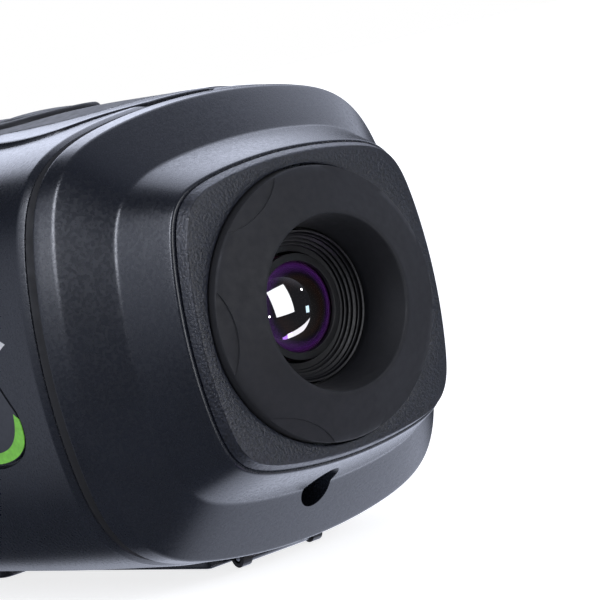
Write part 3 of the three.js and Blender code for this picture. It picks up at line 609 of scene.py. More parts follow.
def shaded(colour, by):
    """A colour made darker or lighter."""
    return tuple(min(255, c * by) for c in colour)


SHELL_COLOUR = (24, 27, 35)
BEZEL_COLOUR = (25, 28, 37)
RUBBER_COLOUR = (22, 23, 29)
GREEN = (112, 186, 60)
ARROW = (196, 198, 202)


def shell_finish():
    """Moulded plastic with a fine satin spark-eroded texture."""
    made = Finish("shell_plastic", IOR=1.5)
    made.colours(made.noise(9, 3), (0.3, shaded(SHELL_COLOUR, 0.94)), (0.7, shaded(SHELL_COLOUR, 1.06)))
    made.sheen_spread(made.noise(0.5, 3), 0.22, 0.32)
    return made.relief(made.noise(0.42, 2), 0.006).relief(made.noise(0.16, 2), 0.002)


def bezel_finish():
    """The bezel's coarser sparkling grain."""
    made = Finish("bezel_grain", IOR=1.5)
    made.colours(made.noise(0.32, 3), (0.35, shaded(BEZEL_COLOUR, 0.62)), (0.65, shaded(BEZEL_COLOUR, 1.3)))
    made.sheen_spread(made.noise(0.4, 2), 0.3, 0.48)
    return made.relief(made.noise(0.42, 3, 0.6), 0.13)


def rubber_finish():
    """Soft matt rubber with a faint bloom."""
    made = Finish("matt_rubber", IOR=1.42, Sheen_Weight=0.03, Sheen_Roughness=0.5)
    made.colours(made.noise(5, 4), (0.3, shaded(RUBBER_COLOUR, 0.92)), (0.7, shaded(RUBBER_COLOUR, 1.08)))
    made.sheen_spread(made.noise(1.2, 3), 0.58, 0.72)
    return made.relief(made.noise(0.2, 2), 0.004)


def anodised_finish():
    """Black anodised aluminium, finely bead-blasted."""
    made = Finish("black_anodised", Metallic=0.35, IOR=1.5)
    made.colours(made.noise(1.5, 3), (0.3, (11, 11, 14)), (0.7, (19, 19, 23)))
    made.sheen_spread(made.noise(0.3, 3), 0.32, 0.5)
    return made.relief(made.noise(0.12, 2), 0.003)


def metal_finish(name, dark, light, rough=(0.22, 0.38)):
    """Bare metal with a fine turned or rolled texture."""
    made = Finish(name, Metallic=1.0)
    made.colours(made.noise(2.5, 4), (0.3, dark), (0.7, light))
    made.sheen_spread(made.noise(0.6, 3), *rough)
    return made.relief(made.noise(0.2, 2), 0.002)


def board_finish():
    """Green solder mask over faint copper tracks."""
    made = Finish("circuit_board", IOR=1.5)
    made.colours(made.noise(1.8, 1), (0.46, (18, 62, 40)), (0.5, (28, 84, 54)), (0.54, (18, 62, 40)))
    made.sheen_spread(made.noise(1.0, 2), 0.25, 0.45)
    return made.relief(made.noise(1.8, 1), 0.01)


def chip_finish():
    """Black moulding compound."""
    made = Finish("moulded_black", IOR=1.5)
    made.colours(made.noise(2, 3), (0.3, (22, 23, 25)), (0.7, (31, 32, 35)))
    made.sheen_spread(made.noise(0.5, 3), 0.5, 0.7)
    return made.relief(made.noise(0.25, 3), 0.008)


def glass_finish():
    """Coated infrared glass: an almost black mirror, with brown and violet rings painted by distance from
    the axis as a painted reflection.
    """
    made = Finish("glass_painted_reflection", IOR=2.9)
    # dark glass colour, with painted reflection: brown and violet rings by distance from the axis
    made.colours(
        made.from_axis(), (0.3, (12, 9, 7)), (0.52, (30, 18, 12)), (0.6, (16, 9, 20)),
        (0.74, (66, 28, 90)), (0.9, (60, 26, 48)))
    made.sheen_spread(made.noise(3, 2), 0.01, 0.03)
    return made.relief(made.noise(4, 1), 0.0004)


def label_finish():
    """A dark printed film under a thin clear coat."""
    made = Finish("label_film", IOR=1.5, Coat_Weight=0.4, Coat_Roughness=0.2)
    made.colours(made.noise(4, 3), (0.3, (27, 30, 38)), (0.7, (32, 35, 43)))
    made.sheen_spread(made.noise(0.8, 3), 0.35, 0.5)
    return made.relief(made.noise(0.5, 2), 0.002)


def ink_finish(name, colour):
    """Printed ink on the label."""
    made = Finish(name, IOR=1.5)
    made.colours(made.noise(0.8, 3), (0.3, shaded(colour, 0.93)), (0.7, shaded(colour, 1.06)))
    made.sheen_spread(made.noise(0.6, 3), 0.4, 0.55)
    return made.relief(made.noise(0.3, 2), 0.002)


def cell_finish():
    """The battery's shrink sleeve."""
    made = Finish("cell_sleeve", IOR=1.5)
    made.colours(made.noise(8, 3), (0.3, (38, 84, 132)), (0.7, (48, 98, 150)))
    made.sheen_spread(made.noise(1.5, 3), 0.25, 0.4)
    return made.relief(made.noise(1.2, 2), 0.006)


FINISHES = {
    "shell": shell_finish(),
    "bezel": bezel_finish(),
    "rubber": rubber_finish(),
    "anodised": anodised_finish(),
    "metal": metal_finish("steel", (150, 152, 156), (186, 188, 192)),
    "brass": metal_finish("brass", (166, 132, 70), (190, 154, 88)),
    "board": board_finish(),
    "chip": chip_finish(),
    "glass": glass_finish(),
    "label": label_finish(),
    "cell": cell_finish(),
}


def finish_piece(name, shape, finish, body="housing", stands_for=(), sharp=SHARP, look=None):
    """Turns a drawn shape into a piece in metres, with its finish, its body and what it replaces."""
    shape.transform(Matrix.Translation(OPTIC) @ Matrix.Scale(MM, 4))
    shape.materials.clear()
    shape.materials.append((look or FINISHES[finish]).material)
    shape.shade_smooth()
    shape.set_sharp_from_angle(angle=math.radians(sharp))
    shape.name = name
    piece = bpy.data.objects.new(name, shape)
    bpy.context.scene.collection.objects.link(piece)
    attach(piece, body)
    if stands_for:
        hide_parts(*stands_for)


# Objective ---------------------------------------------------------------------------------------


def front_bezel():
    """The square plate round the focus ring, with an eased edge."""
    hole = RING_R + GAP
    shape = sleeve([
        (BEZEL_BACK, 0.1), (BEZEL_FACE, 0.45), (circle(0, hole), 0.15), (circle(BEZEL_BACK[0], hole), 0.1),
    ])
    finish_piece("bezel_plate", shape, "bezel", stands_for=["front_bezel"])


def focus_ring():
    """The grip: a cone round the mouth, cut by shallow dishes, a short wall and a sleeve behind."""
    ring = turned([
        (LIP_R, -3.5, 0.35), (LIP_R + 0.5, -3.5, 0.3), (17.6, -1.7, 0.5), (RING_R, -1.2, 0.4),
        (RING_R, 1.6, 0.1), (SLEEVE_R, 1.6, 0.1), (SLEEVE_R, 11, 0.3), (13, 11, 0.3),
        (13, 4.2, 0.1), (MOUTH_R, 4.2, 0.1), (MOUTH_R, 3, 0.2),
    ], sides=480, longest=0.8)
    deep = SCALLOP["deep"]
    skim = turned([(9, -6, 0), (21, -6, 0), (21, -0.55 + deep, 0), (9, -4.6 + deep, 0)], longest=2)
    dishes = []
    for i in range(SCALLOPS):
        turn = 2 * math.pi * i / SCALLOPS
        centre = (SCALLOP["reach"] * math.cos(turn), 0, SCALLOP["reach"] * math.sin(turn))
        disc = rod(SCALLOP["radius"], -7, 1, 0.1, "y", 360, centre)
        dishes.append(combined("INTERSECT", disc, skim.copy()))
    finish_piece(
        "focus_grip", combined("DIFFERENCE", ring, *dishes), "rubber", "focus_ring", ["focus_ring"], 9)


def nose_shell():
    """A square boss that flares through a shoulder to a rim, with the tether hole in its chin."""
    opening, wall_end = SLEEVE_R + GAP, 4.4
    hull = sleeve([
        (circle(NOSE_FRONT[0], opening), 0.2), (NOSE_FRONT, 0.35), (NOSE_WAIST, 0.4),
        (NOSE_SHOULDER, 0.4), (NOSE_RIM, 0.4), (grown(NOSE_RIM, -WALL), 0.2),
        (grown(NOSE_SHOULDER, -WALL), 0.3), (grown(NOSE_WAIST, -WALL), 0.3),
        (grown(NOSE_FRONT, -WALL, wall_end), 0.3), (circle(wall_end, opening), 0.2),
    ], sides=360, longest=1.2, steps=7)
    block = tether_block()
    x, z = TETHER["x"], TETHER["z"]
    channel = rod(TETHER["radius"], -2, TETHER["end"], 0.6, "y", 72, (x, 0, z))
    exit_way = rod(TETHER["exit_radius"], -40, z, 0.4, "z", 72, (x, TETHER["exit_y"], 0))
    shape = combined("DIFFERENCE", combined("UNION", hull, block), channel, exit_way)
    finish_piece("nose_casting", shape, "shell", stands_for=["nose_shell"])


def tether_block():
    """The lump inside the chin that the tether channel is drilled through, held within the hull."""
    block = slab([rounded_rect(5, 9, 18.1, 0.8)], [(0, 0), (0, 12)], flat("z", -21, -1))
    hull = plug([grown(station, -0.4) for station in (NOSE_FRONT, NOSE_WAIST, NOSE_SHOULDER, NOSE_RIM)])
    return combined("INTERSECT", block, hull)


def nose_gasket():
    """The seal in the groove: it slopes up from the nose to the body's front edge."""
    ring = BODY[0]
    shape = sleeve([
        (grown(ring, -1.5, 18.5), 0.15), (grown(ring, -0.4, 19.7), 0.15),
        (grown(ring, -4, 19.7), 0.1), (grown(ring, -4, 18.5), 0.1),
    ], longest=0.6)
    finish_piece("nose_seal", shape, "rubber", stands_for=["nose_gasket"])


def lens_cell():
    """The cell that carries the lenses: fine baffle ridges in front, then the bore and its seats."""
    ridges = []
    for radius, y in BAFFLES:
        ridges.append((radius + 0.02, y - 0.05, 0.06))
        ridges.append((radius - 0.16, y + 0.02, 0.06))
        ridges.append((radius - 0.1, y + 0.38, 0.05))
    shape = turned([
        (CELL_R, 23.5, 0.2), (CELL_R, 3.4, 0.1), *ridges, (7.5, 5.9, 0.1), (7.5, 10.2, 0.1),
        (6.2, 10.2, 0.1), (6.2, 16.5, 0.1), (6.9, 16.5, 0.1), (6.9, 23.5, 0.2),
    ], sides=300, longest=0.8, steps=3)
    finish_piece("objective_cell", shape, "anodised", "lens_cell", ["lens_cell"], 30)


def lens_retainer():
    """The thin ring that holds the front lens in its cell."""
    shape = turned([(6.15, 4.9, 0.12), (7.2, 4.9, 0.1), (7.2, 5.5, 0.05), (6.15, 5.5, 0.05)], longest=0.3)
    finish_piece("objective_retainer", shape, "anodised", "lens_cell", ["lens_retainer"], 30)


def front_lens():
    """A strongly curved front element: a sphere of this radius cut off at the seat."""
    radius, curve, vertex = FRONT_LENS["radius"], FRONT_LENS["curve"], FRONT_LENS["vertex"]
    back, bulge = FRONT_LENS["back"], FRONT_LENS["bulge"]
    rim = math.asin(radius / curve)
    face = [(curve * math.sin(t), vertex + curve * (1 - math.cos(t))) for t in np.linspace(0, rim, 49)]
    rear = [(radius * s, back + bulge * (1 - s * s)) for s in np.linspace(1, 0, 13)]
    finish_piece(
        "objective_glass", spun(face + rear, "y", 192), "glass", "lens_cell", ["front_lens"], 40)


# Body --------------------------------------------------------------------------------------------


def cover_plan():
    """Plan of the top cover: a narrow front that spreads to full width, and rounded behind."""
    half, start, end = COVER["half"], COVER["start"], COVER["end"]
    neck, throat = COVER["neck"], COVER["throat"]
    return traced(
        (-neck, start), (neck, start), ((10, 23.6), (throat, 25.6)), ((half, 27.6), (half, 37)),
        (half, end - 12), ((half - 1, end), (half - 11, end)), (-half + 11, end),
        ((-half + 1, end), (-half, end - 12)), (-half, 37), ((-half, 27.6), (-throat, 25.6)),
        ((-10, 23.6), (-neck, start)),
    )


def panel_plan(grow=0.0):
    """Plan of the keypad panel: its front end is drawn out to an arch."""
    half, start, end = PANEL["half"], PANEL["start"], PANEL["end"]
    plan = traced(
        (-3, start), (3, start), ((half - 1.5, start + 0.5), (half, start + 16)), (half, end - 7),
        ((half, end), (half - 7, end)), (-half + 7, end), ((-half, end), (-half, end - 7)),
        (-half, start + 16), ((-half + 1.5, start + 0.5), (-3, start)),
    )
    return moved_outwards(plan, grow) if grow else plan


def raised(u, v, height):
    """The top surface under a cover whose height grows from its front end; heights above the
    body's own surface grow with it."""
    ys, heights = zip(*COVER_RAMP)
    share = np.interp(v, ys, heights) / heights[-1]
    return on_top(u, v, np.where(np.asarray(height) > 0, height * share, height))


def label_plan():
    """Outline of the label on the left flank, in y and z: a slanted front and round corners."""
    return traced(
        (34.5, 5), (27.8, -5.2), ((25.6, -11.4), (34.6, -12.4)), (80, -13), ((85, -13), (84, -7)),
        (82, 1), ((81, 5), (77, 5)), step=0.5,
    )


def port_plan():
    """Outline of the port's opening, in y and z, with tighter corners at its hinge."""
    start, end, low, high = PORT["start"], PORT["end"], PORT["low"], PORT["high"]
    tight, wide = 0.6, 1.5
    return traced(
        (start + tight, low), (end - wide, low), ((end, low), (end, low + wide)),
        (end, high - wide), ((end, high), (end - wide, high)),
        (start + tight, high), ((start, high), (start, high - tight)),
        (start, low + tight), ((start, low), (start + tight, low)),
    )


def body_hull():
    """The wall of both body halves together, with a bevel round its front edge."""
    start, end = BODY[0][0], BODY[-1][0]
    ys = np.linspace(start, end, 54)
    bevel = [(body_station(start, -0.5), 0.12), (body_station(start + 1.1), 0.3)]
    outer = bevel + [(body_station(y), 0) for y in ys[1:]]
    outer[-1] = (outer[-1][0], 0.35)
    inner = [(body_station(y, -WALL), 0) for y in reversed(ys)]
    return sleeve(outer + inner, longest=2.4)


def body_openings():
    """What is cut from both halves: the belly's opening, room for the door's ears, and the top."""
    belly_plan = rounded_rect(BELLY_HALF, DOOR["start"], PLATE["end"], 0.6)
    belly = slab([belly_plan], [(-GAP, 0), (-GAP, 12)], flat("z", -28, -1))
    ears = slab([rounded_rect(7.5, 10, DOOR["start"], 0.4)], [(0, 0), (0, 12)], flat("z", -28.5, -1))
    cover = slab([cover_plan()], flared_hole(4, 0.2), on_top)
    return [belly, ears, cover]


def label_pocket():
    """The shallow pocket in the left flank, with an eased edge."""
    walls = [(-GAP, -0.75), (-GAP, -0.2), (-GAP - 0.15, 0.02), (-GAP - 0.6, 2)]
    return slab([label_plan()], walls, on_flank(-1))


def body_shells():
    """Two moulded halves that meet on the middle plane, with openings for everything set in them."""
    hull = body_hull()
    tools = body_openings()
    for side, hand in ((-1, "left"), (1, "right")):
        half = slab([rounded_rect(60, -10, 160, 1)], [(0, GAP / 2), (0, 40)], flat_x(side))
        own = label_pocket() if side < 0 else slab([port_plan()], flared_hole(6, 0.25), on_flank(1))
        copies = [tool.copy() for tool in tools]
        shape = combined("DIFFERENCE", combined("INTERSECT", hull.copy(), half), *copies, own)
        finish_piece(f"body_half_{hand}", shape, "shell", stands_for=[f"body_shell_{hand}"])


def flat_x(side):
    """The middle plane, with heights measured out to one side: u is z and v is y."""

    def place(u, v, height):
        return np.stack([np.full(len(u), side * height, float), v, u], 1)

    return place


def top_cover():
    """The raised spine: a stepped edge round a crowned face, with a window for the keypad."""
    proud = COVER["proud"]
    edge = [(0, -1.6), (0, -0.05), (0.1, 0.3), (0.25, proud - 0.15), (0.4, proud - 0.04), (0.6, proud)]
    window = panel_plan(GAP)[::-1]
    finish_piece(
        "spine_cover", slab([cover_plan(), window], edge, raised), "shell", stands_for=["top_cover"])


def on_hump(u, v, height):
    """The top surface at the level of the keypad's raised pad."""
    return on_top(u, v, height + HUMP["proud"])


def keypad():
    """The rubber keypad: a flat panel and a raised pad with a hole for each button."""
    panel = slab([panel_plan()], soft_edge(0.25, COVER["proud"] - PANEL["sunk"], -1.6), raised)
    hump_plan = rounded_rect(HUMP["half"], HUMP["start"], HUMP["end"], HUMP["corner"])
    hump = slab([hump_plan], soft_edge(0.85, HUMP["proud"], -1, 6), on_top)
    holes = []
    for name in BUTTONS:
        middle = button_middle(name)
        half, length = BUTTON["width"] / 2 + GAP, BUTTON["length"] / 2 + GAP
        plan = rounded_rect(half, middle - length, middle + length, BUTTON["corner"])
        holes.append(slab([plan], flared_hole(6, 0.2, grow=0), on_hump))
    shape = combined("DIFFERENCE", combined("UNION", panel, hump), *holes)
    finish_piece("keypad_mat", shape, "rubber", stands_for=["keypad"])


def button_middle(name):
    """Where a button sits along the body, from its CAD node."""
    low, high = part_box("button_" + name)
    return ((low.y + high.y) / 2 - OPTIC.y) / MM


def buttons():
    """Soft caps that are crowned along the body, each on the stem that reaches its switch."""
    half, length = BUTTON["width"] / 2, BUTTON["length"] / 2
    for name in BUTTONS:
        middle = button_middle(name)
        node = "button_" + name
        low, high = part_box(node)
        top, stem_end = (high.z - OPTIC.z) / MM, (low.z - OPTIC.z) / MM
        plan = rounded_rect(half, middle - length, middle + length, BUTTON["corner"])

        def crowned(u, v, height, top=top, middle=middle):
            dome = BUTTON["dome"] * ((u / half) ** 2 + ((v - middle) / length) ** 2)
            return np.stack([u, v, top + height - np.where(height > -1.2, dome, 0)], 1)

        cap = slab([plan], soft_edge(0.7, 0, -2.6, 5), crowned, 0.8)
        stem = rod(1.5, stem_end, top - 2, 0.2, "z", 36, (0, middle, 0))
        finish_piece(name + "_key", combined("UNION", cap, stem), "rubber", node, [node])


def side_label():
    """A flush printed film: a slanted front, a green sweep round its lower corner, a small arrow."""
    film = slab([label_plan()], soft_edge(0.1, 0, -0.45, 2), on_flank(-1), 1.2)
    finish_piece("flank_label", film, "label", stands_for=["side_label"])
    print_edge = [(0, -0.1), (0, 0.03), (0.04, 0.05)]
    sweep = traced(
        (27.3, -6.1), ((26.3, -11.5), (34.6, -12.1)), (79.9, -12.7), (79.9, -11.1), (34.6, -10.6),
        ((28.9, -10.2), (28.3, -5.3)), step=0.4,
    )
    finish_piece(
        "label_sweep", slab([sweep], print_edge, on_flank(-1), 1.0), "label",
        look=ink_finish("green_ink", GREEN))
    arrow = traced((26.4, 4.1), (29.2, 2.7), (29.2, 5.5), step=0.3)
    finish_piece(
        "side_arrow", slab([arrow], print_edge, on_flank(-1), 0.8), "label",
        look=ink_finish("pale_ink", ARROW))


def belly_slab(plan, profile):
    """A plate on the belly: heights are measured down from its level."""
    return slab([plan], profile, flat("z", BELLY_LEVEL, -1))


def battery_door():
    """The hinged belly door, with its barrel at the front and a pocket for the latch."""
    start, end, reach = DOOR["start"], DOOR["end"], DOOR_PIN["half"]
    pin = (0, DOOR_PIN["y"], DOOR_PIN["z"])
    leaf = belly_slab(rounded_rect(BELLY_HALF, start, end, 0.9), soft_edge(0.45, 0, -2.0))
    web_plan = rounded_rect(reach, DOOR_PIN["y"], start + 0.8, 0.2)
    web = belly_slab(web_plan, [(0, -1.5), (0, -0.2), (0.2, 0)])
    roll = rod(DOOR_PIN["barrel"], -reach, reach, 0.15, "x", 48, pin)
    bore = rod(DOOR_PIN["bore"], -BELLY_HALF, BELLY_HALF, 0.05, "x", 40, pin)
    pocket_edge = [(0, -1.1), (0, -0.2), (-0.2, 0.01), (-0.4, 1)]
    pocket = belly_slab(rounded_rect(*LATCH_POCKET.values(), 0.8), pocket_edge)
    shape = combined("DIFFERENCE", combined("UNION", leaf, web, roll), bore, pocket)
    finish_piece("belly_door", shape, "shell", "battery_door", ["battery_door"])


def door_latch():
    """A thumb slide with three ridges, flush with the door but for them."""
    slider = belly_slab(rounded_rect(*LATCH.values(), 0.8), soft_edge(0.2, 0.1, -0.8))
    ridges = [
        belly_slab(rounded_rect(4, middle - 0.35, middle + 0.35, 0.2), soft_edge(0.12, 0.5, -0.3))
        for middle in LATCH_RIDGES
    ]
    shape = combined("UNION", slider, *ridges)
    finish_piece("thumb_slide", shape, "rubber", "door_latch", ["door_latch"])


def belly_plate():
    """The fixed belly plate: a foot pad with a chamfered edge, and the collar for the bush."""
    plate_plan = rounded_rect(BELLY_HALF, PLATE["start"], PLATE["end"], 0.9)
    plate = belly_slab(plate_plan, soft_edge(0.4, 0, -2.0))
    foot_plan = rounded_rect(BELLY_HALF, FOOT["start"], FOOT["end"], 2)
    foot = belly_slab(foot_plan, soft_edge(0.4, FOOT["proud"], -2.0))
    collar = rod(6.5, -32.2, -26, 0.3, "z", 64, (0, BUSH["y"], 0))
    bore = rod(4.6, -38, -20, 0.2, "z", 64, (0, BUSH["y"], 0))
    screw = (0, FOOT_SCREW["y"], 0)
    seat = rod(FOOT_SCREW["seat"], -38, -32.0, 0.1, "z", 40, screw)
    shaft = rod(FOOT_SCREW["shaft"], -38, -26, 0.1, "z", 40, screw)
    shape = combined("DIFFERENCE", combined("UNION", plate, foot, collar), bore, seat, shaft)
    finish_piece("foot_plate", shape, "shell", stands_for=["belly_plate"])


def tripod_bush():
    """A flanged brass bush whose bore has the ridges of a coarse thread."""
    hole, low, high = BUSH["hole"], BUSH["low"], BUSH["high"]
    ridges = []
    for k in range(BUSH["ridges"]):
        level = high - 0.6 - BUSH["pitch"] * k
        ridges.append((hole, level, 0.08))
        ridges.append((BUSH["root"], level - BUSH["pitch"] / 2, 0.08))
    shape = turned([
        (hole, low, 0.2), (4.3, low, 0.25), (4.3, -25.6, 0.1), (6, -25.6, 0.15), (6, high, 0.2),
        (hole, high, 0.2), *ridges,
    ], sides=96, longest=2, steps=3)
    shape.transform(Matrix.Translation((0, BUSH["y"], 0)) @ Matrix.Rotation(math.pi / 2, 4, "X"))
    finish_piece("foot_bush", shape, "brass", stands_for=["tripod_bush"], sharp=35)


def port_cover():
    """The port's flap: it follows the flank, with a raised pad, a finger lip and a hinge barrel."""
    low, high, start, end = PORT["low"], PORT["high"], PORT_PIN["y"], PORT["end"]
    middle, half = (low + high) / 2, (high - low) / 2
    pin = (PORT_PIN["x"], PORT_PIN["y"], 0)

    def across(u, v, height):
        return on_flank(1)(v, u + middle, height)

    leaf = slab([rounded_rect(half, start, end, 1.2)], soft_edge(0.3, -0.2, -FLAP_THICK), across)
    pad_plan = rounded_rect(half - 1.8, start + 2.2, end - 2.8, 1.2)
    pad = slab([pad_plan], soft_edge(0.25, 0.25, -0.5), across)
    lip = slab([rounded_rect(2.6, end - 1.8, end - 0.5, 0.4)], soft_edge(0.2, 0.45, -0.5), across)
    roll = rod(PORT_PIN["barrel"], low, high, 0.15, "z", 48, pin)
    bore = rod(PORT_PIN["bore"], low - 1, high + 1, 0.05, "z", 40, pin)
    shape = combined("DIFFERENCE", combined("UNION", leaf, pad, lip, roll), bore)
    finish_piece("port_flap", shape, "rubber", "port_cover", ["port_cover"])


# Rear --------------------------------------------------------------------------------------------


def rear_cap():
    """The cap's outer skin, its round neck for the eyepiece, and the spigot inside the body."""
    spigot = 119.5
    shape = sleeve([
        (body_station(spigot, -WALL - GAP), 0.3), (grown(BODY[-1], -WALL - GAP), 0),
        (grown(BODY[-1], -WALL - GAP, 126.2), 0), (grown(REAR_CAP[0], -WALL - GAP), 0.05),
        (grown(REAR_CAP[0], 0), 0.3), (REAR_CAP[1], 1.4), (REAR_CAP[2], 1.2), (REAR_CAP[3], 0.4),
        (circle(135, 17.3), 0.3), (circle(129.4, 17.3), 0.2), (circle(128.6, 22.2), 0.3),
        (body_station(spigot, -WALL - GAP - 1.8), 0.3),
    ], longest=1.6)
    finish_piece("rear_collar", shape, "shell", stands_for=["rear_cap"])


def rear_gasket():
    """The thin seal between the body and the rear cap."""
    ring = BODY[-1]
    shape = sleeve([
        (grown(ring, -0.5, 125.7), 0.12), (grown(ring, -0.5, 126.5), 0.12),
        (grown(ring, -WALL, 126.5), 0.05), (grown(ring, -WALL, 125.7), 0.05),
    ])
    finish_piece("rear_seal", shape, "rubber", stands_for=["rear_gasket"])


def eyepiece_tube():
    """A plain tube with a flange at its front end, inside the body."""
    shape = turned([
        (15.7, 121, 0.2), (19.2, 121, 0.2), (19.2, 123, 0.2), (TUBE_R, 123, 0.1), (TUBE_R, 151, 0.3),
        (15.7, 151, 0.3),
    ], longest=1.5)
    finish_piece("ocular_tube", shape, "anodised", stands_for=["eyepiece_tube"])


def eyepiece_lenses():
    """Two thick biconvex lenses."""
    for name, node, near, near_edge, far_edge, far in EYE_LENSES:
        front = [(EYE_LENS_R * t, near + (near_edge - near) * t * t) for t in np.linspace(0, 1, 25)]
        back = [(EYE_LENS_R * t, far + (far_edge - far) * t * t) for t in np.linspace(1, 0, 25)]
        finish_piece(name, spun(front + back, "y", 192), "glass", "eyepiece_cell", [node], 40)


def eyepiece_cell():
    """The barrel that slides in the tube, with a shoulder between its two lenses."""
    shape = turned([
        (15.3, 129, 0.2), (15.3, 149, 0.3), (13.4, 149, 0.3), (13.4, 140.2, 0.1), (12.2, 140.2, 0.1),
        (12.2, 137.2, 0.1), (13.4, 137.2, 0.1), (13.4, 129, 0.2),
    ], longest=1.5, steps=3)
    finish_piece("ocular_cell", shape, "anodised", "eyepiece_cell", ["eyepiece_cell"], 30)


def eyepiece_retainer():
    """A thin ring with two notches for a spanner."""
    ring = turned([
        (12, 147.2, 0.1), (13.1, 147.2, 0.1), (13.1, 148.6, 0.15), (12, 148.6, 0.3),
    ], longest=0.6)
    notches = [
        slab([rounded_rect(0.6, side * 12.6 - 1, side * 12.6 + 1, 0.1)], [(0, 148), (0, 150)], flat("y", 0))
        for side in (-1, 1)
    ]
    shape = combined("DIFFERENCE", ring, *notches)
    finish_piece("ocular_retainer", shape, "anodised", "eyepiece_cell", ["eyepiece_retainer"], 30)


def diopter_ring():
    """A knurled rubber ring: rounded flutes all round between two plain rims."""
    start, end, reach = DIOPTER["start"], DIOPTER["end"], GRIP_R + 0.35
    ring = turned([
        (CUP_BORE, start, 0.3), (GRIP_R, start, 0.5), (GRIP_R, end, 0.5), (CUP_BORE, end, 0.3),
    ], longest=1.0)
    cuts = []
    for i in range(DIOPTER["flutes"]):
        turn = 2 * math.pi * i / DIOPTER["flutes"]
        centre = (math.cos(turn) * reach, 0, math.sin(turn) * reach)
        cuts.append(rod(DIOPTER["flute_r"], start + 1.2, end - 1.2, 0.7, "y", 20, centre))
    shape = combined("DIFFERENCE", ring, *cuts)
    finish_piece("diopter_grip", shape, "rubber", "diopter_ring", ["diopter_ring"], 30)


def eyecup():
    """The soft cup: a collar that grips the tube, then a thin flared skirt with a rolled lip."""
    shape = turned([
        (CUP_BORE, 145.8, 0.2), (GRIP_R, 145.8, 0.5), (20.7, 148.6, 0.6), (19.9, 149.6, 0.5),
        (20.7, 150.6, 0.6), (21.4, 152, 0.8), (22.2, 156, 2), (24.4, 164, 2), (25.6, 168.8, 0.6),
        (25, 170, 0.5), (23.6, 169.4, 0.5), (22, 164, 2), (19.6, 156, 2), (18.2, 152, 0.8),
        (CUP_BORE, 151.2, 0.2),
    ], longest=1.2)
    finish_piece("eye_shield", shape, "rubber", stands_for=["eyecup"])


# Screws and small hardware -----------------------------------------------------------------------


def hexagon(radius, centre):
    """The outline of a hex key's socket."""
    turns = np.linspace(0, 2 * math.pi, 6, endpoint=False)
    corners = np.array([(radius * math.cos(t), radius * math.sin(t)) for t in turns])
    return anticlockwise(corners) + np.array(centre)


def socket_screw(name, axis, node, side=1):
    """A socket-head screw drawn in the box of its CAD node, with its head at one end."""
    low, high = ((corner - OPTIC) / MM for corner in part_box(node))
    along = {"x": 0, "z": 2}[axis]
    middle = [(a + b) / 2 for a, b in zip(low, high)]
    middle[along] = 0
    head_end, tail_end = (high[along], low[along]) if side > 0 else (low[along], high[along])
    head_r = (high[1] - low[1]) / 2
    deep = 1.7 if axis == "x" else 0.9
    under = head_end - side * deep
    profile = [
        (0, tail_end), (1.0, tail_end), (1.2, tail_end + side * 0.3), (1.2, under), (head_r - 0.15, under),
        (head_r, under + side * 0.15), (head_r, head_end - side * 0.25),
        (head_r - 0.08, head_end - side * 0.08), (head_r - 0.25, head_end), (0, head_end),
    ]
    centre = [middle[1], middle[2]] if axis == "x" else [middle[0], middle[1]]
    socket_edge = [(0, -deep * 0.6), (0, -0.1), (-0.1, 0.01), (-0.2, 0.6)]
    socket = slab([hexagon(1.1, centre)], socket_edge, flat(axis, head_end, side), 2)
    screw = spun(profile, axis, 64, tuple(middle))
    finish_piece(name, combined("DIFFERENCE", screw, socket), "metal", stands_for=[node], sharp=30)


def carried_over():
    """Gives every CAD node the finish of its slot; those that nothing replaces stay in view."""
    for row in frame["record"]["subparts"]:
        mesh = frame["nodes"][row["node"]].data
        mesh.materials.clear()
        mesh.materials.append(FINISHES[row["material_slot"]].material)


# Studio ------------------------------------------------------------------------------------------


def towards(direction):
    """Turns -Z of a light along a direction, with +Y of it upwards."""
    return Vector(direction).to_track_quat("-Z", "Y")


def camera():
    """The photographer's viewpoint, in the optic frame: close in front, to the left and level."""
    back = -Vector(CAMERA_AHEAD).normalized()
    right = Vector(CAMERA_UP).cross(back).normalized()
    turn = Matrix((right, back.cross(right), back)).transposed()
    data = bpy.data.cameras.new("camera")
    data.lens = CAMERA_LENS
    data.sensor_width = CAMERA_SENSOR
    data.clip_start = 0.01
    data.clip_end = 60
    view = bpy.data.objects.new("camera", data)
    view.matrix_world = Matrix.Translation(OPTIC + MM * Vector(CAMERA_PLACE)) @ turn.to_4x4()
    bpy.context.scene.collection.objects.link(view)
    bpy.context.scene.camera = view


def softbox(name, azimuth, elevation, width, height, radiance, colour=(1, 1, 1), roll=0.0, lights=False):
    """A rectangular light seen from the lens. Azimuth runs from straight ahead of it towards +X.
    Width and height are in degrees, and only gloss sees it unless it lights matt surfaces too."""
    distance = SOFTBOX_DISTANCE
    az, el = math.radians(azimuth), math.radians(elevation)
    ahead = Vector((math.sin(az) * math.cos(el), -math.cos(az) * math.cos(el), math.sin(el)))
    wide, high = (2 * distance * math.tan(math.radians(angle) / 2) for angle in (width, height))
    data = bpy.data.lights.new(name, "AREA")
    data.shape = "RECTANGLE"
    data.size, data.size_y = wide, high
    data.energy = radiance * math.pi * wide * high
    data.color = colour
    light = bpy.data.objects.new(name, data)
    light.rotation_mode = "QUATERNION"
    tilt = Matrix.Rotation(math.radians(roll), 3, "Z").to_quaternion()
    light.rotation_quaternion = towards(-ahead) @ tilt
    light.location = OPTIC + ahead * distance
    light.visible_camera = False
    light.visible_diffuse = lights
    bpy.context.scene.collection.objects.link(light)


def background(room, colour, strength=1.0):
    """An even light from all round."""
    node = room.add("ShaderNodeBackground")
    node.inputs["Color"].default_value = (*colour, 1)
    node.inputs["Strength"].default_value = strength
    return node


